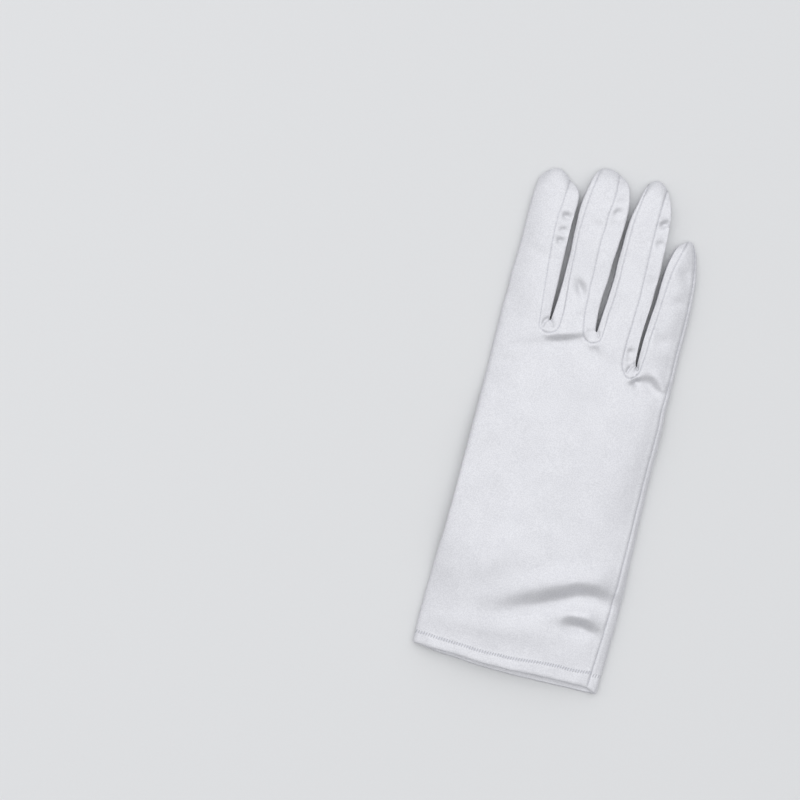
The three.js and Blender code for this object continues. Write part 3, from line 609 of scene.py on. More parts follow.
def palm_rows(back):
    """Rows of the palm, from the folded edge round under the hand and up to the side seam."""

    def places(finger, k):
        row = finger_palm_row(finger, k, 0)
        start = RIM if finger["folded"] else 0
        return row[start:start + PALM_COLUMNS[k] + 1]

    ends = root_places(places, lambda k, share: mix(*web_row(k, share)[::-1], UNDER_SEAM), PALM_WEB)
    shares = (ends[:, 0] - ends[0, 0]) / (ends[-1, 0] - ends[0, 0])
    wide_end = section(HAND[-1], 0)[3][0] - ends[-1, 0]
    rows = []
    for j, v in enumerate(body_shares()):
        left, right, _ = outline(v * PALM_LENGTH)
        x = ends[:, 0] if v == 1 else mix(left + MID, right - MID, shares)
        y = mix(HEM_DEPTH * pick(MOUTH, shares, 2), ends[:, 1], v)
        low = np.zeros_like(x) if v == 1 else lift(x, y)
        wide = wide_end if v == 1 else MID
        start = rim(x[0] - MID, y[0], low[0], MID, MID, 1)[:-1]
        start[0] = back[j][0]
        below = rim(x[-1] + wide, y[-1], low[-1], wide, MID, -1)[:-1][::-1]
        edge = (x[-1] + wide, y[-1])
        flank_x, flank_y = flank(edge, back[j][-1])
        high = body_top(outline(flank_y)[1] + flank_x - edge[0], flank_y)
        side = row_of(flank_x, flank_y, high)
        side[-1] = back[j][-1]
        rows.append(np.vstack([start, row_of(x, y, low), below, side]))
    return np.array(rows)


FINGER_SHARES = 1 - (1 - np.linspace(0, 1, FINGER_ROWS + 1)) ** FINGER_CROWDING


def strip_row(seam, high, edge, close):
    """One row across a fourchette: from the seam on the back to the seam on the palm."""
    low = MID * (1 - close)
    flat = np.linspace(0, 1, STRIP_COLUMNS + 1)
    bend = np.linspace(0, math.pi / 2, STRIP_COLUMNS + 1)[1:]
    across = np.concatenate([STRIP_FLAT * flat, mix(STRIP_FLAT, 1, np.sin(bend))])
    share_up = np.concatenate([1 - STRIP_DROP * flat**2, (1 - STRIP_DROP) * np.cos(bend)])
    upper = [(*mix(seam, edge, share), z) for share, z in zip(across, mix(MID, high, share_up))]
    under = mix(edge, seam, UNDER_SEAM)
    turn = np.linspace(0, math.pi / 2, STRIP_BELOW + 1)[1:]
    lower = [(*mix(edge, under, 1 - math.cos(t)), mix(MID, low, math.sin(t))) for t in turn]
    return np.array(upper + lower)


def fourchette_rows(k):
    """Rows along a fourchette: down one finger, round the web and up the next finger."""
    rows = []
    for at in FINGER_SHARES[::-1]:
        seam, edge = section(HAND[k], at)[2:]
        rows.append(strip_row(seam, finger_back_row(HAND[k], k, at)[-1, 2], edge, opening(at)))
    for share in spread(ARC_ROWS)[1:-1]:
        seam, edge = web_row(k, share)
        rows.append(strip_row(seam, float(body_top(seam[0], seam[1])), edge, 1))
    for at in FINGER_SHARES:
        edge, seam = section(HAND[k + 1], at)[:2]
        rows.append(strip_row(seam, finger_back_row(HAND[k + 1], k + 1, at)[0, 2], edge, opening(at)))
    return np.array(rows)


def path_lengths(path):
    """The length along a path at each of its points."""
    steps = np.linalg.norm(np.diff(path, axis=0), axis=1)
    return np.concatenate([[0], np.cumsum(steps)])


def resampled(path, pitch):
    """Points along a path at an even pitch."""
    lengths = path_lengths(path)
    at = np.arange(0, lengths[-1], pitch)
    return np.stack([np.interp(at, lengths, path[:, c]) for c in range(path.shape[1])], axis=1)


def seam_paths():
    """The seams of the back in plan: the three fourchettes', the side's, and the four fingertips'."""
    paths = []
    for k in range(len(ROOTS)):
        down = [section(HAND[k], at)[2] for at in FINGER_SHARES[::-1]]
        arc = [web_row(k, share)[0] for share in spread(ARC_ROWS)[1:-1]]
        up = [section(HAND[k + 1], at)[1] for at in FINGER_SHARES]
        paths.append(np.array(down + arc + up))
    ys = np.linspace(0, HAND[-1]["root_r"], 100)
    side = [(float(outline(y)[2]), y) for y in ys[:-1]]
    side += [tuple(section(HAND[-1], at)[2]) for at in FINGER_SHARES]
    paths.append(np.array(side))
    return paths


SEAMS = [resampled(path, SEAM_STEP) for path in seam_paths()]


def nearest_on(paths, points):
    """Distance to the nearest of some paths, and the length along it, for points in plan."""
    away = np.full(len(points), FAR)
    along = np.zeros(len(points))
    batch = 4000
    for path in paths:
        lengths = path_lengths(path)
        for start in range(0, len(points), batch):
            part = slice(start, start + batch)
            squares = ((points[part, None, :] - path[None]) ** 2).sum(axis=2)
            best = squares.argmin(axis=1)
            near = np.sqrt(squares[np.arange(len(best)), best])
            closer = near < away[part]
            away[part] = np.where(closer, near, away[part])
            along[part] = np.where(closer, lengths[best], along[part])
    return away, along


def crease_height(x, y, crease):
    """A crease steps the cloth up on its far side and down on its cuff side, and both settle again."""
    line = resampled(np.array(crease["line"], float), CREASE_STEP)
    points = np.stack([x, y], axis=-1).reshape(-1, 2)
    total = np.zeros(len(points))
    reach = np.ptp(line[:, :2], axis=0) / 2 + CREASE_REACH * crease["width"]
    box = (np.abs(points - line[:, :2].mean(axis=0)) < reach).all(axis=1)
    near_points = points[box]
    if not len(near_points):
        return total.reshape(np.shape(x))
    squares = ((near_points[:, None, :] - line[None, :, :2]) ** 2).sum(axis=2)
    best = squares.argmin(axis=1)
    steps = unit(np.gradient(line[:, :2], axis=0))
    off = near_points - line[best, :2]
    normal = np.stack([-steps[best, 1], steps[best, 0]], axis=1)
    side = (off * normal).sum(axis=1) / crease["width"]
    past = np.abs((off * steps[best]).sum(axis=1)) / (2 * crease["width"])
    wave = CREASE_STEEPNESS * side / (1 + CREASE_SETTLING * side * side) ** 1.5
    wave = wave * np.exp(-past * past - CREASE_FADING * side * side)
    total[box] = crease["height"] / 2 * line[best, 2] * wave
    return total.reshape(np.shape(x))


def dents(x, y):
    """The small dents at a place, as a depth below the smooth cloth."""
    total = 0
    for at_x, at_y, long, wide, turn, depth in DENTS:
        along, across = turned(x - at_x, y - at_y, math.radians(turn))
        total = total - depth * np.exp(-((along / long) ** 2) - (across / wide) ** 2)
    return total


def noise_at(points, size, seed):
    """Smooth noise from about -1 to 1 at points in millimetres, over lengths of a size."""
    random = np.random.default_rng(seed)
    total = 0
    for _ in range(WAVES):
        direction = random.normal(size=3)
        pace = 2 * math.pi / (size * random.uniform(*WAVE_LENGTHS) * np.linalg.norm(direction))
        total = total + np.sin(points @ direction * pace + random.uniform(0, 2 * math.pi))
    return total / math.sqrt(WAVES)


def wander(points):
    """How far the cloth strays in plan from its drawn lines, as sewn cloth does."""
    flat = points * (1, 1, 0)
    strays = [sum(far * noise_at(flat, size, seed + n) for far, size, n in STRAYS) for seed in STRAY_SEEDS]
    return np.stack([*strays, np.zeros(len(points))], axis=1)


def seam_relief(away, along):
    """Height beside a seam: its groove, its shoulder, and the puckers between its stitches."""
    groove = -GROOVE_DEPTH * np.exp(-((away / GROOVE_WIDTH) ** 2))
    shoulder = SHOULDER * np.exp(-(((away - SHOULDER_AT) / SHOULDER_WIDTH) ** 2))
    over, radians = PUCKER_DRIFT
    drift = noise_at(np.stack([along / over, along * 0, along * 0], axis=1), 1, 3)
    beat = np.sin(2 * math.pi * along / PUCKER_PITCH + radians * drift)
    return (groove + shoulder + PUCKER * beat * np.exp(-away / PUCKER_REACH)) * (away < SEAM_REACH)


def grid_faces(rows, columns, first, flip):
    """Faces of a grid whose points start at an index."""
    ids = first + np.arange(rows * columns).reshape(rows, columns)
    a, b, c, d = ids[:-1, :-1], ids[1:, :-1], ids[1:, 1:], ids[:-1, 1:]
    order = (d, c, b, a) if flip else (a, b, c, d)
    return np.stack(order, axis=-1).reshape(-1, 4)


class Cloth:
    """Grids of one piece of cloth, joined where their points and leaves agree."""

    def __init__(self):
        self.points, self.faces, self.leaves = [], [], []
        self.count = 0

    def add(self, rows, flip, leaf):
        """A grid of points, with the leaf of each point or of all."""
        rows = np.asarray(rows)
        height, width = rows.shape[:2]
        self.faces.append(grid_faces(height, width, self.count, flip))
        self.points.append(rows.reshape(-1, 3))
        self.leaves.append(np.broadcast_to(leaf, (height, width)).reshape(-1))
        self.count += height * width

    def joined(self):
        """Points, faces and leaves once equal points are one."""
        table = np.column_stack([np.concatenate(self.points), np.concatenate(self.leaves)])
        table, faces = merge(table, np.concatenate(self.faces))
        return table[:, :3], faces, table[:, 3]


def clean_faces(faces):
    """Faces as lists, without repeated corners."""
    made = []
    for face in faces.tolist():
        corners = [v for n, v in enumerate(face) if v != face[n - 1]]
        if len(set(corners)) == len(corners) and len(corners) > 2:
            made.append(corners)
    return made


def vertex_normals(points, faces):
    """Area-weighted normals of a quad mesh."""
    diagonal = points[faces[:, 2]] - points[faces[:, 0]]
    other = points[faces[:, 3]] - points[faces[:, 1]]
    crossed = np.cross(diagonal, other)
    normals = np.zeros_like(points)
    for corner in range(4):
        np.add.at(normals, faces[:, corner], crossed)
    return unit(normals)


def origin_shift():
    """From the palm's own frame to the row's frame, whose origin is the middle of the CAD model's box."""
    middle = (np.array(cad_box[0]) + np.array(cad_box[1])) / 2 / MM
    return np.array([middle[0], middle[1], 0.0]) - np.array([*PLAN_MIDDLE, 0.0])


def sharpen_ends(mesh):
    """Keeps the cloth's outer edges crisp, so that the shade of its face doesn't run round them."""
    edges = np.empty(len(mesh.loops), dtype=np.int32)
    mesh.loops.foreach_get("edge_index", edges)
    ends = np.bincount(edges, minlength=len(mesh.edges)) == 1
    mesh.attributes.new("sharp_edge", "BOOLEAN", "EDGE").data.foreach_set("value", ends)


def mesh_object(name, points, faces, attributes=None):
    """A mesh object from points in millimetres in the palm's frame."""
    mesh = bpy.data.meshes.new(name)
    mesh.from_pydata(((points + wander(points) + SHIFT) * MM).tolist(), [], faces)
    mesh.validate()
    for key, values in (attributes or {}).items():
        mesh.attributes.new(key, "FLOAT", "POINT").data.foreach_set("value", values.astype(np.float32))
    mesh.shade_smooth()
    sharpen_ends(mesh)
    obj = bpy.data.objects.new(name, mesh)
    bpy.context.collection.objects.link(obj)
    return obj


def thicken(obj):
    """Gives a sheet its thickness, inwards from its outer face."""
    modifier = obj.modifiers.new("thickness", "SOLIDIFY")
    modifier.thickness = CLOTH * MM
    modifier.offset = -1
    modifier.use_even_offset = False


def hem_distances(points, is_back):
    """How far each point lies up from the mouth's edge, and from the row of hem stitches."""
    left, right, seam = outline(points[:, 1])
    share = clamp((points[:, 0] - left) / (np.where(is_back, seam, right) - left))
    edge = HEM_DEPTH * np.where(is_back, pick(MOUTH, share, 1), pick(MOUTH, share, 2))
    return points[:, 1] - edge, points[:, 1] - np.where(is_back, pick(HEM_LINE, share, 1), HEM_DEPTH)


def relief(points):
    """How far the cloth stands off its smooth shape by its creases, dents and gentle unevenness."""
    x, y = points[:, 0], points[:, 1]
    total = dents(x, y)
    for height, size, seed in UNEVENNESS:
        total = total + height * noise_at(points, size, seed)
    for crease in CREASES:
        total = total + crease_height(x, y, crease)
    return total


def raised(points, normals, heights):
    """Points moved along their normals, and kept on or above the surface below."""
    moved = points + normals * heights[:, None]
    moved[:, 2] = np.maximum(moved[:, 2], 0)
    return moved


def mouth_ring(back, palm, count):
    """The first rows of back and palm as one closed ring, and its normals."""
    ring = np.concatenate([back[:count], palm[:count, ::-1][:, 1:-1]], axis=1)
    along = np.gradient(ring, axis=0)
    across = np.roll(ring, -1, axis=1) - np.roll(ring, 1, axis=1)
    return ring, unit(np.cross(across, along))


def lip_rows(row, normals):
    """The turned edge at the mouth: rows from the inside of the hem, round to the outer face."""
    turns = np.linspace(math.pi, 0, LIP_ROWS + 1)[:-1]
    ahead = np.array([0, -1, 0])
    return np.array([row - normals * LIP * (1 - math.cos(t)) + ahead * LIP * math.sin(t) for t in turns])


def make_trank():
    """The hand's one cloth: back and palm, joined along the folded edge alone."""
    cloth = Cloth()
    back = back_rows()
    palm = palm_rows(back)
    ring, ring_normals = mouth_ring(back, palm, 3)
    lip = lip_rows(ring[0], ring_normals[0])
    columns = back.shape[1]
    lips = {1: lip[:, :columns], 2: np.concatenate([lip[:, :1], lip[:, :columns - 2:-1]], axis=1)}
    for rows, leaf, flip in ((back, 1, True), (palm, 2, False)):
        leaves = np.full(rows.shape[1], leaf)
        leaves[0] = 0
        cloth.add(np.concatenate([lips[leaf], rows]), flip, leaves)
    for k, finger in enumerate(HAND):
        for make, leaf, flip in ((finger_back_row, 1, True), (finger_palm_row, 2, False)):
            rows = np.array([make(finger, k, at) for at in FINGER_SHARES])
            leaves = np.full(rows.shape[1], leaf)
            leaves[0] = 0 if finger["folded"] else leaf
            cloth.add(rows, flip, leaves)
    points, faces, leaves = cloth.joined()
    normals = vertex_normals(points, faces)
    is_back = leaves != 2
    away, along = nearest_on(SEAMS, points[:, :2])
    away = np.where(is_back | (points[:, 2] > MID), away, FAR)
    from_mouth, from_stitches = hem_distances(points, is_back)
    upper = smooth((points[:, 2] - MID) / MID)
    length, share = RELIEF_FADE
    total = relief(points) * upper * smooth(from_mouth / length + share) + seam_relief(away, along)
    height, size, seed = HEM_UNEVENNESS
    hem = HEM_LIFT + height * noise_at(points * HEM_STRETCH, size, seed)
    length, share = HEM_START
    total = total + hem * smooth(0.5 - from_stitches / HEM_FADE) * upper * smooth(from_mouth / length + share)
    moved = raised(points, normals, total)
    data = {"seam_away": away, "seam_along": along, "hem_away": from_stitches, "hem_along": points[:, 0]}
    obj = mesh_object("glove_trank", moved, clean_faces(faces), data)
    thicken(obj)
    return obj, moved, normals, is_back


def make_fourchette(k):
    """The strip between two fingers, with its groove along the seam, its dents and its web's creases."""
    rows = fourchette_rows(k)
    height, width = rows.shape[:2]
    points = rows.reshape(-1, 3)
    normals = unit(np.cross(np.gradient(rows, axis=0), np.gradient(rows, axis=1))).reshape(-1, 3)
    away = np.concatenate([path_lengths(row) for row in rows])
    along = np.repeat(path_lengths(rows[:, 0, :2]), width)
    uneven, size, seed = STRIP_UNEVENNESS
    total = relief(points) + uneven * noise_at(points, size, seed) * smooth(away)
    for line, depth in WEB_CREASES:
        near, _ = nearest_on([resampled(np.array(line, float), WEB_CREASE_STEP)], points[:, :2])
        total = total - depth * np.exp(-((near / WEB_CREASE_WIDTH) ** 2))
    steep, offset = STRIP_FACING
    total = total * smooth(steep * normals[:, 2] - offset) + seam_relief(away, along)
    moved = raised(points, normals, total)
    data = {**far_from_seams(len(points)), "seam_away": away, "seam_along": along}
    faces = clean_faces(grid_faces(height, width, 0, False))
    obj = mesh_object(f"glove_fourchette_{ROOTS[k]['name']}", moved, faces, data)
    thicken(obj)
    return obj


def make_hem():
    """The cloth turned up inside the mouth, just inside the turned edge."""
    back = back_rows()
    count = int(np.argmax(body_shares() * PALM_LENGTH > HEM_DEPTH + 1)) + 2
    ring, normals = mouth_ring(back, palm_rows(back), count)
    ring = ring - normals * (2 * LIP + HEM_GAP)
    ring = np.concatenate([ring, ring[:, :1]], axis=1)
    height, width = ring.shape[:2]
    points, faces = merge(ring.reshape(-1, 3), grid_faces(height, width, 0, True))
    obj = mesh_object("glove_cuff_hem", points, clean_faces(faces), far_from_seams(len(points)))
    thicken(obj)
    return obj


def far_from_seams(count):
    """The seams' distances for points that no seam or hem shades."""
    return {key: np.full(count, FAR) for key in ("seam_away", "seam_along", "hem_away", "hem_along")}


def thumb_point(at, wide, high):
    """A point of the thumb from its share of the length, its place across and its height."""
    along = at * THUMB_LENGTH
    axis = (math.cos(THUMB_TURN), math.sin(THUMB_TURN))
    x = THUMB_ROOT[0] + axis[0] * along + axis[1] * wide
    y = THUMB_ROOT[1] + axis[1] * along - axis[0] * wide
    return x, y, high


def make_thumb():
    """The thumb: a flat pouch under the palm, closed at both ends, open where it meets the hand."""
    turns = np.linspace(-math.pi / 2, math.pi / 2, THUMB_SIDE + 1)
    rings = []
    for at in spread(THUMB_ROWS, 0.5):
        thick = THUMB_THICKNESS * float(pick(THUMB, at, 2))
        z = (THUMB_THICKNESS - thick) / 2
        wide = THUMB_WIDTH * float(pick(THUMB, at, 1)) - thick / 2
        right = [(wide + thick / 2 * math.cos(t), z + thick / 2 * (1 + math.sin(t))) for t in turns]
        top = [(wide * s, z + thick) for s in np.linspace(1, -1, THUMB_TOP + 1)[1:-1]]
        left = [(-w, h) for w, h in right[::-1]]
        bottom = [(-wide * s, z) for s in np.linspace(1, -1, THUMB_BOTTOM + 1)[1:-1]]
        ring = right + top + left + bottom
        rings.append([thumb_point(at, w, h) for w, h in ring + ring[:1]])
    rings = np.array(rings)
    uneven, size, seed = THUMB_UNEVENNESS
    sunk = uneven * np.abs(noise_at(rings.reshape(-1, 3), size, seed)).reshape(rings.shape[:2])
    rings[..., 2] = np.clip(rings[..., 2] - sunk * (rings[..., 2] > MID), 0, None)
    faces = grid_faces(rings.shape[0], rings.shape[1], 0, False)
    centres = rings.reshape(-1, 3)[faces].mean(axis=1)
    faces = faces[~in_thumb_hole(centres)]
    points, merged = merge(rings.reshape(-1, 3), faces)
    ends = [ring_fan(points, rings[n][:-1], n) for n in (0, -1)]
    obj = mesh_object("glove_thumb", points, clean_faces(merged) + ends, far_from_seams(len(points)))
    thicken(obj)
    return obj


def in_thumb_hole(centres):
    """Whether points on the thumb's upper side lie in the oval way to the hand."""
    along, across = turned(centres[:, 0] - THUMB_ROOT[0], centres[:, 1] - THUMB_ROOT[1], THUMB_TURN)
    along = along - THUMB_HOLE_AT * THUMB_LENGTH
    inside = (2 * along / THUMB_HOLE[0]) ** 2 + (2 * across / THUMB_HOLE[1]) ** 2 < 1
    return inside & (centres[:, 2] > MID)


def merge(points, faces):
    """Points and faces once equal points are one."""
    _, first, back = np.unique(np.round(points, 3), axis=0, return_index=True, return_inverse=True)
    return points[first], back.reshape(-1)[faces]


def ring_fan(points, ring, end):
    """One face that closes an end of the thumb."""
    ids = [int(np.abs(points - p).sum(axis=1).argmin()) for p in ring]
    return ids[::-1] if end == 0 else ids


def stitches_object(name, centres, directions, normals, length, radius, sink):
    """Short threads laid on the cloth, one at each place."""
    points, faces = [], []
    sides, rings = STITCH_SIDES, STITCH_RINGS
    for centre, direction, normal in zip(centres, directions, normals):
        across = np.cross(direction, normal)
        first = len(points)
        for k in range(rings):
            t = k / (rings - 1)
            arch = math.sin(math.pi * t)
            core = centre + direction * (t - 0.5) * length + normal * (sink + STITCH_ARCH * radius * arch)
            thin = radius * mix(STITCH_END, 1, arch)
            for n in range(sides):
                turn = 2 * math.pi * n / sides
                points.append(core + thin * (math.cos(turn) * across + math.sin(turn) * normal))
        for k in range(rings - 1):
            for n in range(sides):
                a, b = first + k * sides + n, first + k * sides + (n + 1) % sides
                faces.append([a, b, b + sides, a + sides])
        faces.append([first + n for n in range(sides)][::-1])
        faces.append([first + (rings - 1) * sides + n for n in range(sides)])
    return mesh_object(name, np.array(points), faces)


def on_cloth(places, cloth_points, cloth_normals):
    """The cloth's points and normals at places in plan, from its four nearest points."""
    points, normals = [], []
    for place in places:
        squares = ((cloth_points[:, :2] - place) ** 2).sum(axis=1)
        near = np.argsort(squares)[:4]
        weights = 1 / (squares[near] + 1e-3)
        weights = weights / weights.sum()
        points.append(np.array([*place, (cloth_points[near, 2] * weights).sum()]))
        normals.append((cloth_normals[near] * weights[:, None]).sum(axis=0))
    return np.array(points), unit(np.array(normals))


def make_stitches(cloth_points, cloth_normals):
    """The whip stitches of the hem, and the stitches along the side seam and round the fourchettes."""
    made = []
    left, _, seam = outline(HEM_DEPTH)
    xs = np.arange(left + HEM_ENDS[0], seam - HEM_ENDS[1], HEM_PITCH)
    ys = pick(HEM_LINE, (xs - left) / (seam - left), 1)
    points, normals = on_cloth(np.stack([xs, ys], axis=1), cloth_points, cloth_normals)
    slant = unit(np.array([HEM_SLANT, 1.0, 0.0]))
    made.append(stitches_object("hem_stitches", points, [slant] * len(points), normals, *HEM_STITCH))
    names = [f"seam_stitches_{root['name']}" for root in ROOTS] + ["side_seam_stitches"]
    for name, path in zip(names, SEAMS):
        along = path_lengths(path)
        at = np.arange(STITCH_PITCH, along[-1] - STITCH_PITCH, STITCH_PITCH)
        places = np.stack([np.interp(at, along, path[:, c]) for c in (0, 1)], axis=1)
        ahead = np.stack([np.interp(at + 0.4, along, path[:, c]) for c in (0, 1)], axis=1)
        points, normals = on_cloth(places, cloth_points, cloth_normals)
        turns = unit(np.column_stack([ahead - places, np.zeros(len(places))]))
        made.append(stitches_object(name, points, turns, normals, *SEAM_STITCH))
    return made


class Nodes:
    """Short forms for building a material's nodes."""

    def __init__(self, name):
        self.material = bpy.data.materials.new(name)
        self.material.use_nodes = True
        self.tree = self.material.node_tree
        self.shader = self.tree.nodes["Principled BSDF"]

    def put(self, node, inputs):
        """Links or sets a node's sockets, by name or by number."""
        for key, value in inputs.items():
            if isinstance(value, bpy.types.NodeSocket):
                self.tree.links.new(value, node.inputs[key])
            else:
                node.inputs[key].default_value = value

    def add(self, kind, settings, inputs):
        node = self.tree.nodes.new(kind)
        for key, value in settings.items():
            setattr(node, key, value)
        self.put(node, inputs)
        return node.outputs

    def place(self):
        return self.add("ShaderNodeTexCoord", {}, {})["Object"]

    def attribute(self, name):
        return self.add("ShaderNodeAttribute", {"attribute_name": name}, {})["Fac"]

    def math(self, operation, a, b=0.0):
        return self.add("ShaderNodeMath", {"operation": operation}, {0: a, 1: b})[0]

    def range(self, value, low, high, to_low=0.0, to_high=1.0):
        inputs = {1: low, 2: high, 3: to_low, 4: to_high, 0: value}
        return self.add("ShaderNodeMapRange", {"interpolation_type": "SMOOTHSTEP"}, inputs)[0]

    def noise(self, vector, scale, detail=2.0):
        return self.add("ShaderNodeTexNoise", {}, {"Vector": vector, "Scale": scale, "Detail": detail})["Fac"]

    def bump(self, height, distance, strength, normal=None):
        inputs = {"Height": height, "Distance": distance, "Strength": strength}
        if normal is not None:
            inputs["Normal"] = normal
        return self.add("ShaderNodeBump", {}, inputs)["Normal"]

    def mix(self, factor, a, b):
        return self.add("ShaderNodeMix", {"data_type": "RGBA"}, {0: factor, 6: a, 7: b})[2]


SATIN = (0.7, 0.703, 0.735, 1)
SATIN_SHADE = (0.585, 0.588, 0.62, 1)
# The colour of the painted shade in the seams' grooves and between the hem's stitches
SEAM_SHADE = (0.33, 0.335, 0.36, 1)
THREAD = (0.66, 0.67, 0.74, 1)
THREAD_SHADE = (0.58, 0.59, 0.66, 1)
FLOOR = (0.71, 0.717, 0.727, 1)
FLOOR_SHADE = (0.695, 0.702, 0.712, 1)

# Patterns in the satin's colour: noise scale to a millimetre, detail, contrast, share of the shade
CLOUD = (0.09, 3.0, 0.15, 0.2)
MOTTLE = (0.7, 3.0, 0.2, 0.1)
SPECK = (2.0, 1.0, 0.15, 0.7)
# Painted shade in the seams' grooves and between the hem's stitches: how far each darkens the satin towards
# SEAM_SHADE
SEAM_GROOVE_SHADE = 0.2
HEM_STITCH_SHADE = 0.7
ROUGHNESS = (0.34, 0.4)
METALLIC = 0.35

# Fine patterns: scale to a millimetre, then the bump's depth in millimetres and its strength
GRAIN = (5.0, 0.03, 0.6)
RIBS = (0.8, 0.012, 0.5)
TWIST = (3.5, 0.05, 0.5)
STITCH_BUMP = (-0.06, 0.7)  # of a groove or a stitch, so without a scale
FLOOR_TOOTH = 0.9  # a scale alone, as it has no bump

# Where a seam's groove and a hem stitch start and end, and how much of a groove its stitches take
GROOVE_SHADE = (0.05, 0.6)
TICK_ENDS = (0.6, 0.95)
TICK_SIDES = (0.2, 0.8)
GROOVE_BEAT = 0.25
GROOVE_BASE = 0.6


def stitch_masks(n):
    """How deep a point lies in a seam's groove or in a hem stitch, from 0 to 1."""
    away, along = n.attribute("seam_away"), n.attribute("seam_along")
    groove = n.range(away, *GROOVE_SHADE, 1.0, 0.0)
    beat = n.math("SINE", n.math("MULTIPLY", along, 2 * math.pi / STITCH_PITCH))
    seam = n.math("MULTIPLY", groove, n.math("MULTIPLY_ADD", beat, GROOVE_BEAT))
    seam = n.math("ADD", seam, n.math("MULTIPLY", groove, GROOVE_BASE))
    hem_away, hem_along = n.attribute("hem_away"), n.attribute("hem_along")
    reach = n.range(n.math("ABSOLUTE", hem_away), *TICK_ENDS, 1.0, 0.0)
    slanted = n.math("SUBTRACT", hem_along, n.math("MULTIPLY", hem_away, HEM_SLANT))
    tick = n.math("SINE", n.math("MULTIPLY", slanted, 2 * math.pi / HEM_PITCH))
    hem = n.math("MULTIPLY", reach, n.range(tick, *TICK_SIDES))
    return seam, hem


def satin_material():
    """Pale lavender satin: a soft sheen, fine grain, faint ribs along the fingers, and shade painted into its
    seams' grooves and between its hem stitches.
    """
    n = Nodes("satin")
    at = n.add("ShaderNodeVectorMath", {"operation": "SCALE"}, {0: n.place(), "Scale": 1 / MM})[0]
    seam, hem = stitch_masks(n)
    shades, tone = [], 0.0
    for scale, detail, half, share in (CLOUD, MOTTLE, SPECK):
        shades.append(n.range(n.noise(at, scale, detail), 0.5 - half, 0.5 + half))
        tone = n.math("ADD", tone, n.math("MULTIPLY", shades[-1], share))
    # Shade painted into the seams' grooves and between the hem's stitches, where the small dents fall dark
    painted_groove_shade = n.math("MAXIMUM", n.math("MULTIPLY", seam, SEAM_GROOVE_SHADE), n.math("MULTIPLY", hem, HEM_STITCH_SHADE))
    bands = {"wave_type": "BANDS", "bands_direction": "X"}
    ribs = n.add("ShaderNodeTexWave", bands, {"Vector": at, "Scale": RIBS[0], "Distortion": 0.6})["Fac"]
    grain = n.bump(n.noise(at, GRAIN[0], 3.0), GRAIN[1] * MM, GRAIN[2])
    ribbed = n.bump(ribs, RIBS[1] * MM, RIBS[2], grain)
    n.put(n.shader, {
        "Base Color": n.mix(painted_groove_shade, n.mix(tone, SATIN, SATIN_SHADE), SEAM_SHADE),
        "Roughness": n.range(shades[1], 0.0, 1.0, *ROUGHNESS),
        "Metallic": METALLIC,
        "Normal": n.bump(n.math("MAXIMUM", seam, hem), STITCH_BUMP[0] * MM, STITCH_BUMP[1], ribbed),
    })
    return n.material


def thread_material():
    """The thread: the satin's colour, a little darker and rougher, with a fine twist."""
    n = Nodes("thread")
    twist = n.noise(n.place(), TWIST[0] / MM)
    n.put(n.shader, {
        "Base Color": n.mix(twist, THREAD, THREAD_SHADE),
        "Roughness": 0.6,
        "Normal": n.bump(twist, TWIST[1] * MM, TWIST[2]),
    })
    return n.material


def floor_material():
    """A matt pale grey surface with a barely visible tooth."""
    n = Nodes("pale_floor")
    n.put(n.shader, {
        "Base Color": n.mix(n.noise(n.place(), FLOOR_TOOTH / MM), FLOOR, FLOOR_SHADE),
        "Roughness": 0.85,
        "Specular IOR Level": 0.2,
    })
    return n.material


# The photograph's view, straight down. Its up direction is turned from the fingers' by the glove's lean.
LEAN = math.radians(14)
VIEW_MIDDLE = (-75.8, -8.2)  # in the row's frame, the place below the camera
VIEW_WIDTH = 363.6  # covered at the floor
CAMERA_HEIGHT = 1150
SENSOR_WIDTH = 36
FLOOR_HALF = 3.0
FLOOR_DROP = 0.0001  # how far the floor lies below the glove, in metres

# The room's light: where it is brightest, the cosines from there between which it changes, and its
# strengths far from there and near it
SKY_AZIMUTH = 70
SKY_ELEVATION = 60
SKY_EDGES = (0.3, 0.85)
SKY_STRENGTHS = (0.44, 1.12)
SKY_COLOUR = (0.985, 0.99, 1.0, 1)

# Lights: azimuth and elevation in degrees, distance and size in metres, power in watts
LIGHTS = {"softbox": (90, 80, 1.1, 1.8, 4.2), "fill": (172, 22, 1.1, 0.8, 1.2)}


def make_camera():
    """A long lens that looks straight down, as the photograph does."""
    data = bpy.data.cameras.new("camera")
    data.sensor_width = SENSOR_WIDTH
    data.lens = SENSOR_WIDTH * CAMERA_HEIGHT / VIEW_WIDTH
    camera = bpy.data.objects.new("camera", data)
    camera.location = (VIEW_MIDDLE[0] * MM, VIEW_MIDDLE[1] * MM, CAMERA_HEIGHT * MM)
    camera.rotation_euler = (0, 0, LEAN)
    bpy.context.collection.objects.link(camera)
    bpy.context.scene.camera = camera


def towards(azimuth, elevation):
    """A direction in degrees. Azimuth is from the picture's right side, anticlockwise."""
    turn, rise = math.radians(azimuth) + LEAN, math.radians(elevation)
    return Vector((math.cos(turn) * math.cos(rise), math.sin(turn) * math.cos(rise), math.sin(rise)))


def area_light(name, azimuth, elevation, distance, size, power):
    """A square soft light, turned to the glove from a direction."""
    data = bpy.data.lights.new(name, "AREA")
    data.size = size
    data.energy = power
    light = bpy.data.objects.new(name, data)
    away = towards(azimuth, elevation)
    light.location = away * distance
    light.rotation_euler = away.to_track_quat("Z", "Y").to_euler()
    bpy.context.collection.objects.link(light)


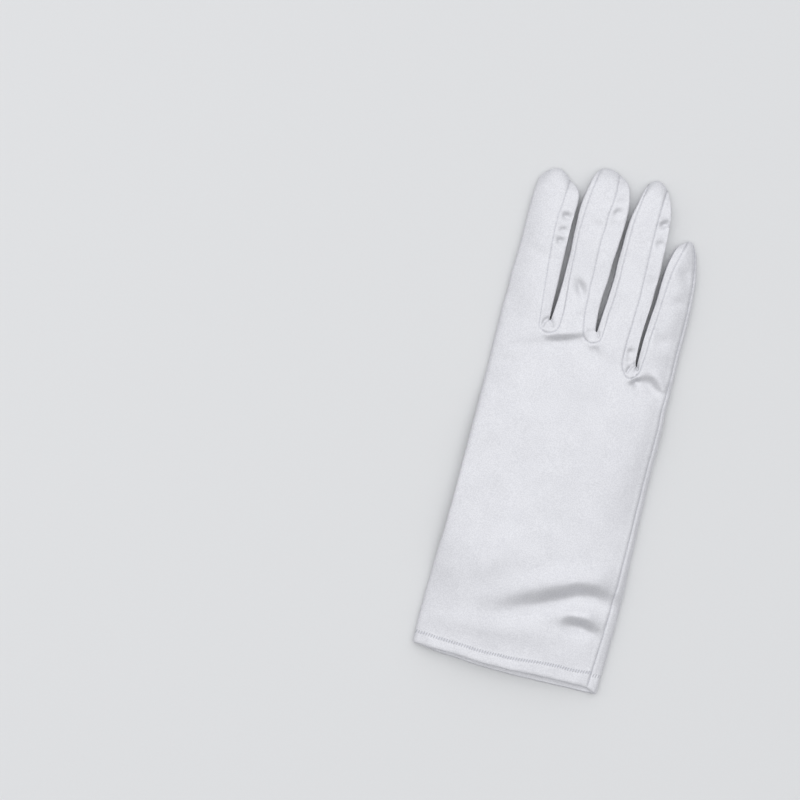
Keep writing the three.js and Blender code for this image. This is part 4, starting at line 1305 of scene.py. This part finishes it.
def make_light():
    """A white room that is bright above and towards the picture's top, and dim towards its bottom."""
    world = bpy.data.worlds.new("studio")
    world.use_nodes = True
    tree = world.node_tree
    place = tree.nodes.new("ShaderNodeTexCoord")
    dot = tree.nodes.new("ShaderNodeVectorMath")
    dot.operation = "DOT_PRODUCT"
    dot.inputs[1].default_value = towards(SKY_AZIMUTH, SKY_ELEVATION)
    ramp = tree.nodes.new("ShaderNodeMapRange")
    ramp.interpolation_type = "SMOOTHSTEP"
    for socket, value in zip(list(ramp.inputs)[1:5], (*SKY_EDGES, *SKY_STRENGTHS)):
        socket.default_value = value
    tree.links.new(place.outputs["Generated"], dot.inputs[0])
    tree.links.new(dot.outputs["Value"], ramp.inputs[0])
    background = tree.nodes["Background"]
    background.inputs["Color"].default_value = SKY_COLOUR
    tree.links.new(ramp.outputs[0], background.inputs["Strength"])
    bpy.context.scene.world = world
    bpy.context.scene.view_settings.view_transform = "Standard"
    for name, values in LIGHTS.items():
        area_light(name, *values)


def make_floor():
    """The pale surface, just below the glove."""
    mesh = bpy.data.meshes.new("floor")
    corners = [(-1, -1), (1, -1), (1, 1), (-1, 1)]
    mesh.from_pydata([(x * FLOOR_HALF, y * FLOOR_HALF, 0) for x, y in corners], [], [(0, 1, 2, 3)])
    floor = bpy.data.objects.new("floor", mesh)
    floor.location.z = -FLOOR_DROP
    floor.data.materials.append(floor_material())
    bpy.context.collection.objects.link(floor)


def plan_middle():
    """The middle of the glove's plan, in the palm's frame."""
    back = back_rows()
    rows = [back, palm_rows(back)]
    for k, finger in enumerate(HAND):
        rows.append(np.array([finger_back_row(finger, k, at) for at in FINGER_SHARES]))
    for k in range(len(ROOTS)):
        rows.append(fourchette_rows(k))
    points = np.concatenate([grid.reshape(-1, 3) for grid in rows])
    return (points[:, :2].min(axis=0) + points[:, :2].max(axis=0)) / 2


PLAN_MIDDLE = plan_middle()
SHIFT = origin_shift()


TRANK_NODES = [
    "trank", "trank_index", "trank_middle_back", "trank_middle_palm", "trank_ring_back", "trank_ring_palm",
    "trank_little_back", "trank_little_palm",
]


def main():
    """Makes the stage and the glove, hides the CAD parts that each piece stands for, and hangs the pieces
    under the body's root.
    """
    make_camera()
    make_light()
    make_floor()
    satin, thread = satin_material(), thread_material()
    trank, cloth_points, cloth_normals, is_back = make_trank()
    pieces = [trank, make_hem(), make_thumb()]
    nodes = [TRANK_NODES, ["cuff_hem"], ["thumb"]]
    for k, root in enumerate(ROOTS):
        pieces.append(make_fourchette(k))
        nodes.append([f"fourchette_{root['name']}"])
    for piece, stands_for in zip(pieces, nodes):
        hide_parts(*stands_for)
        piece.data.materials.append(satin)
    stitches = make_stitches(cloth_points[is_back], cloth_normals[is_back])
    for piece in stitches:
        piece.data.materials.append(thread)
    for piece in pieces + stitches:
        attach(piece, "root")


main()
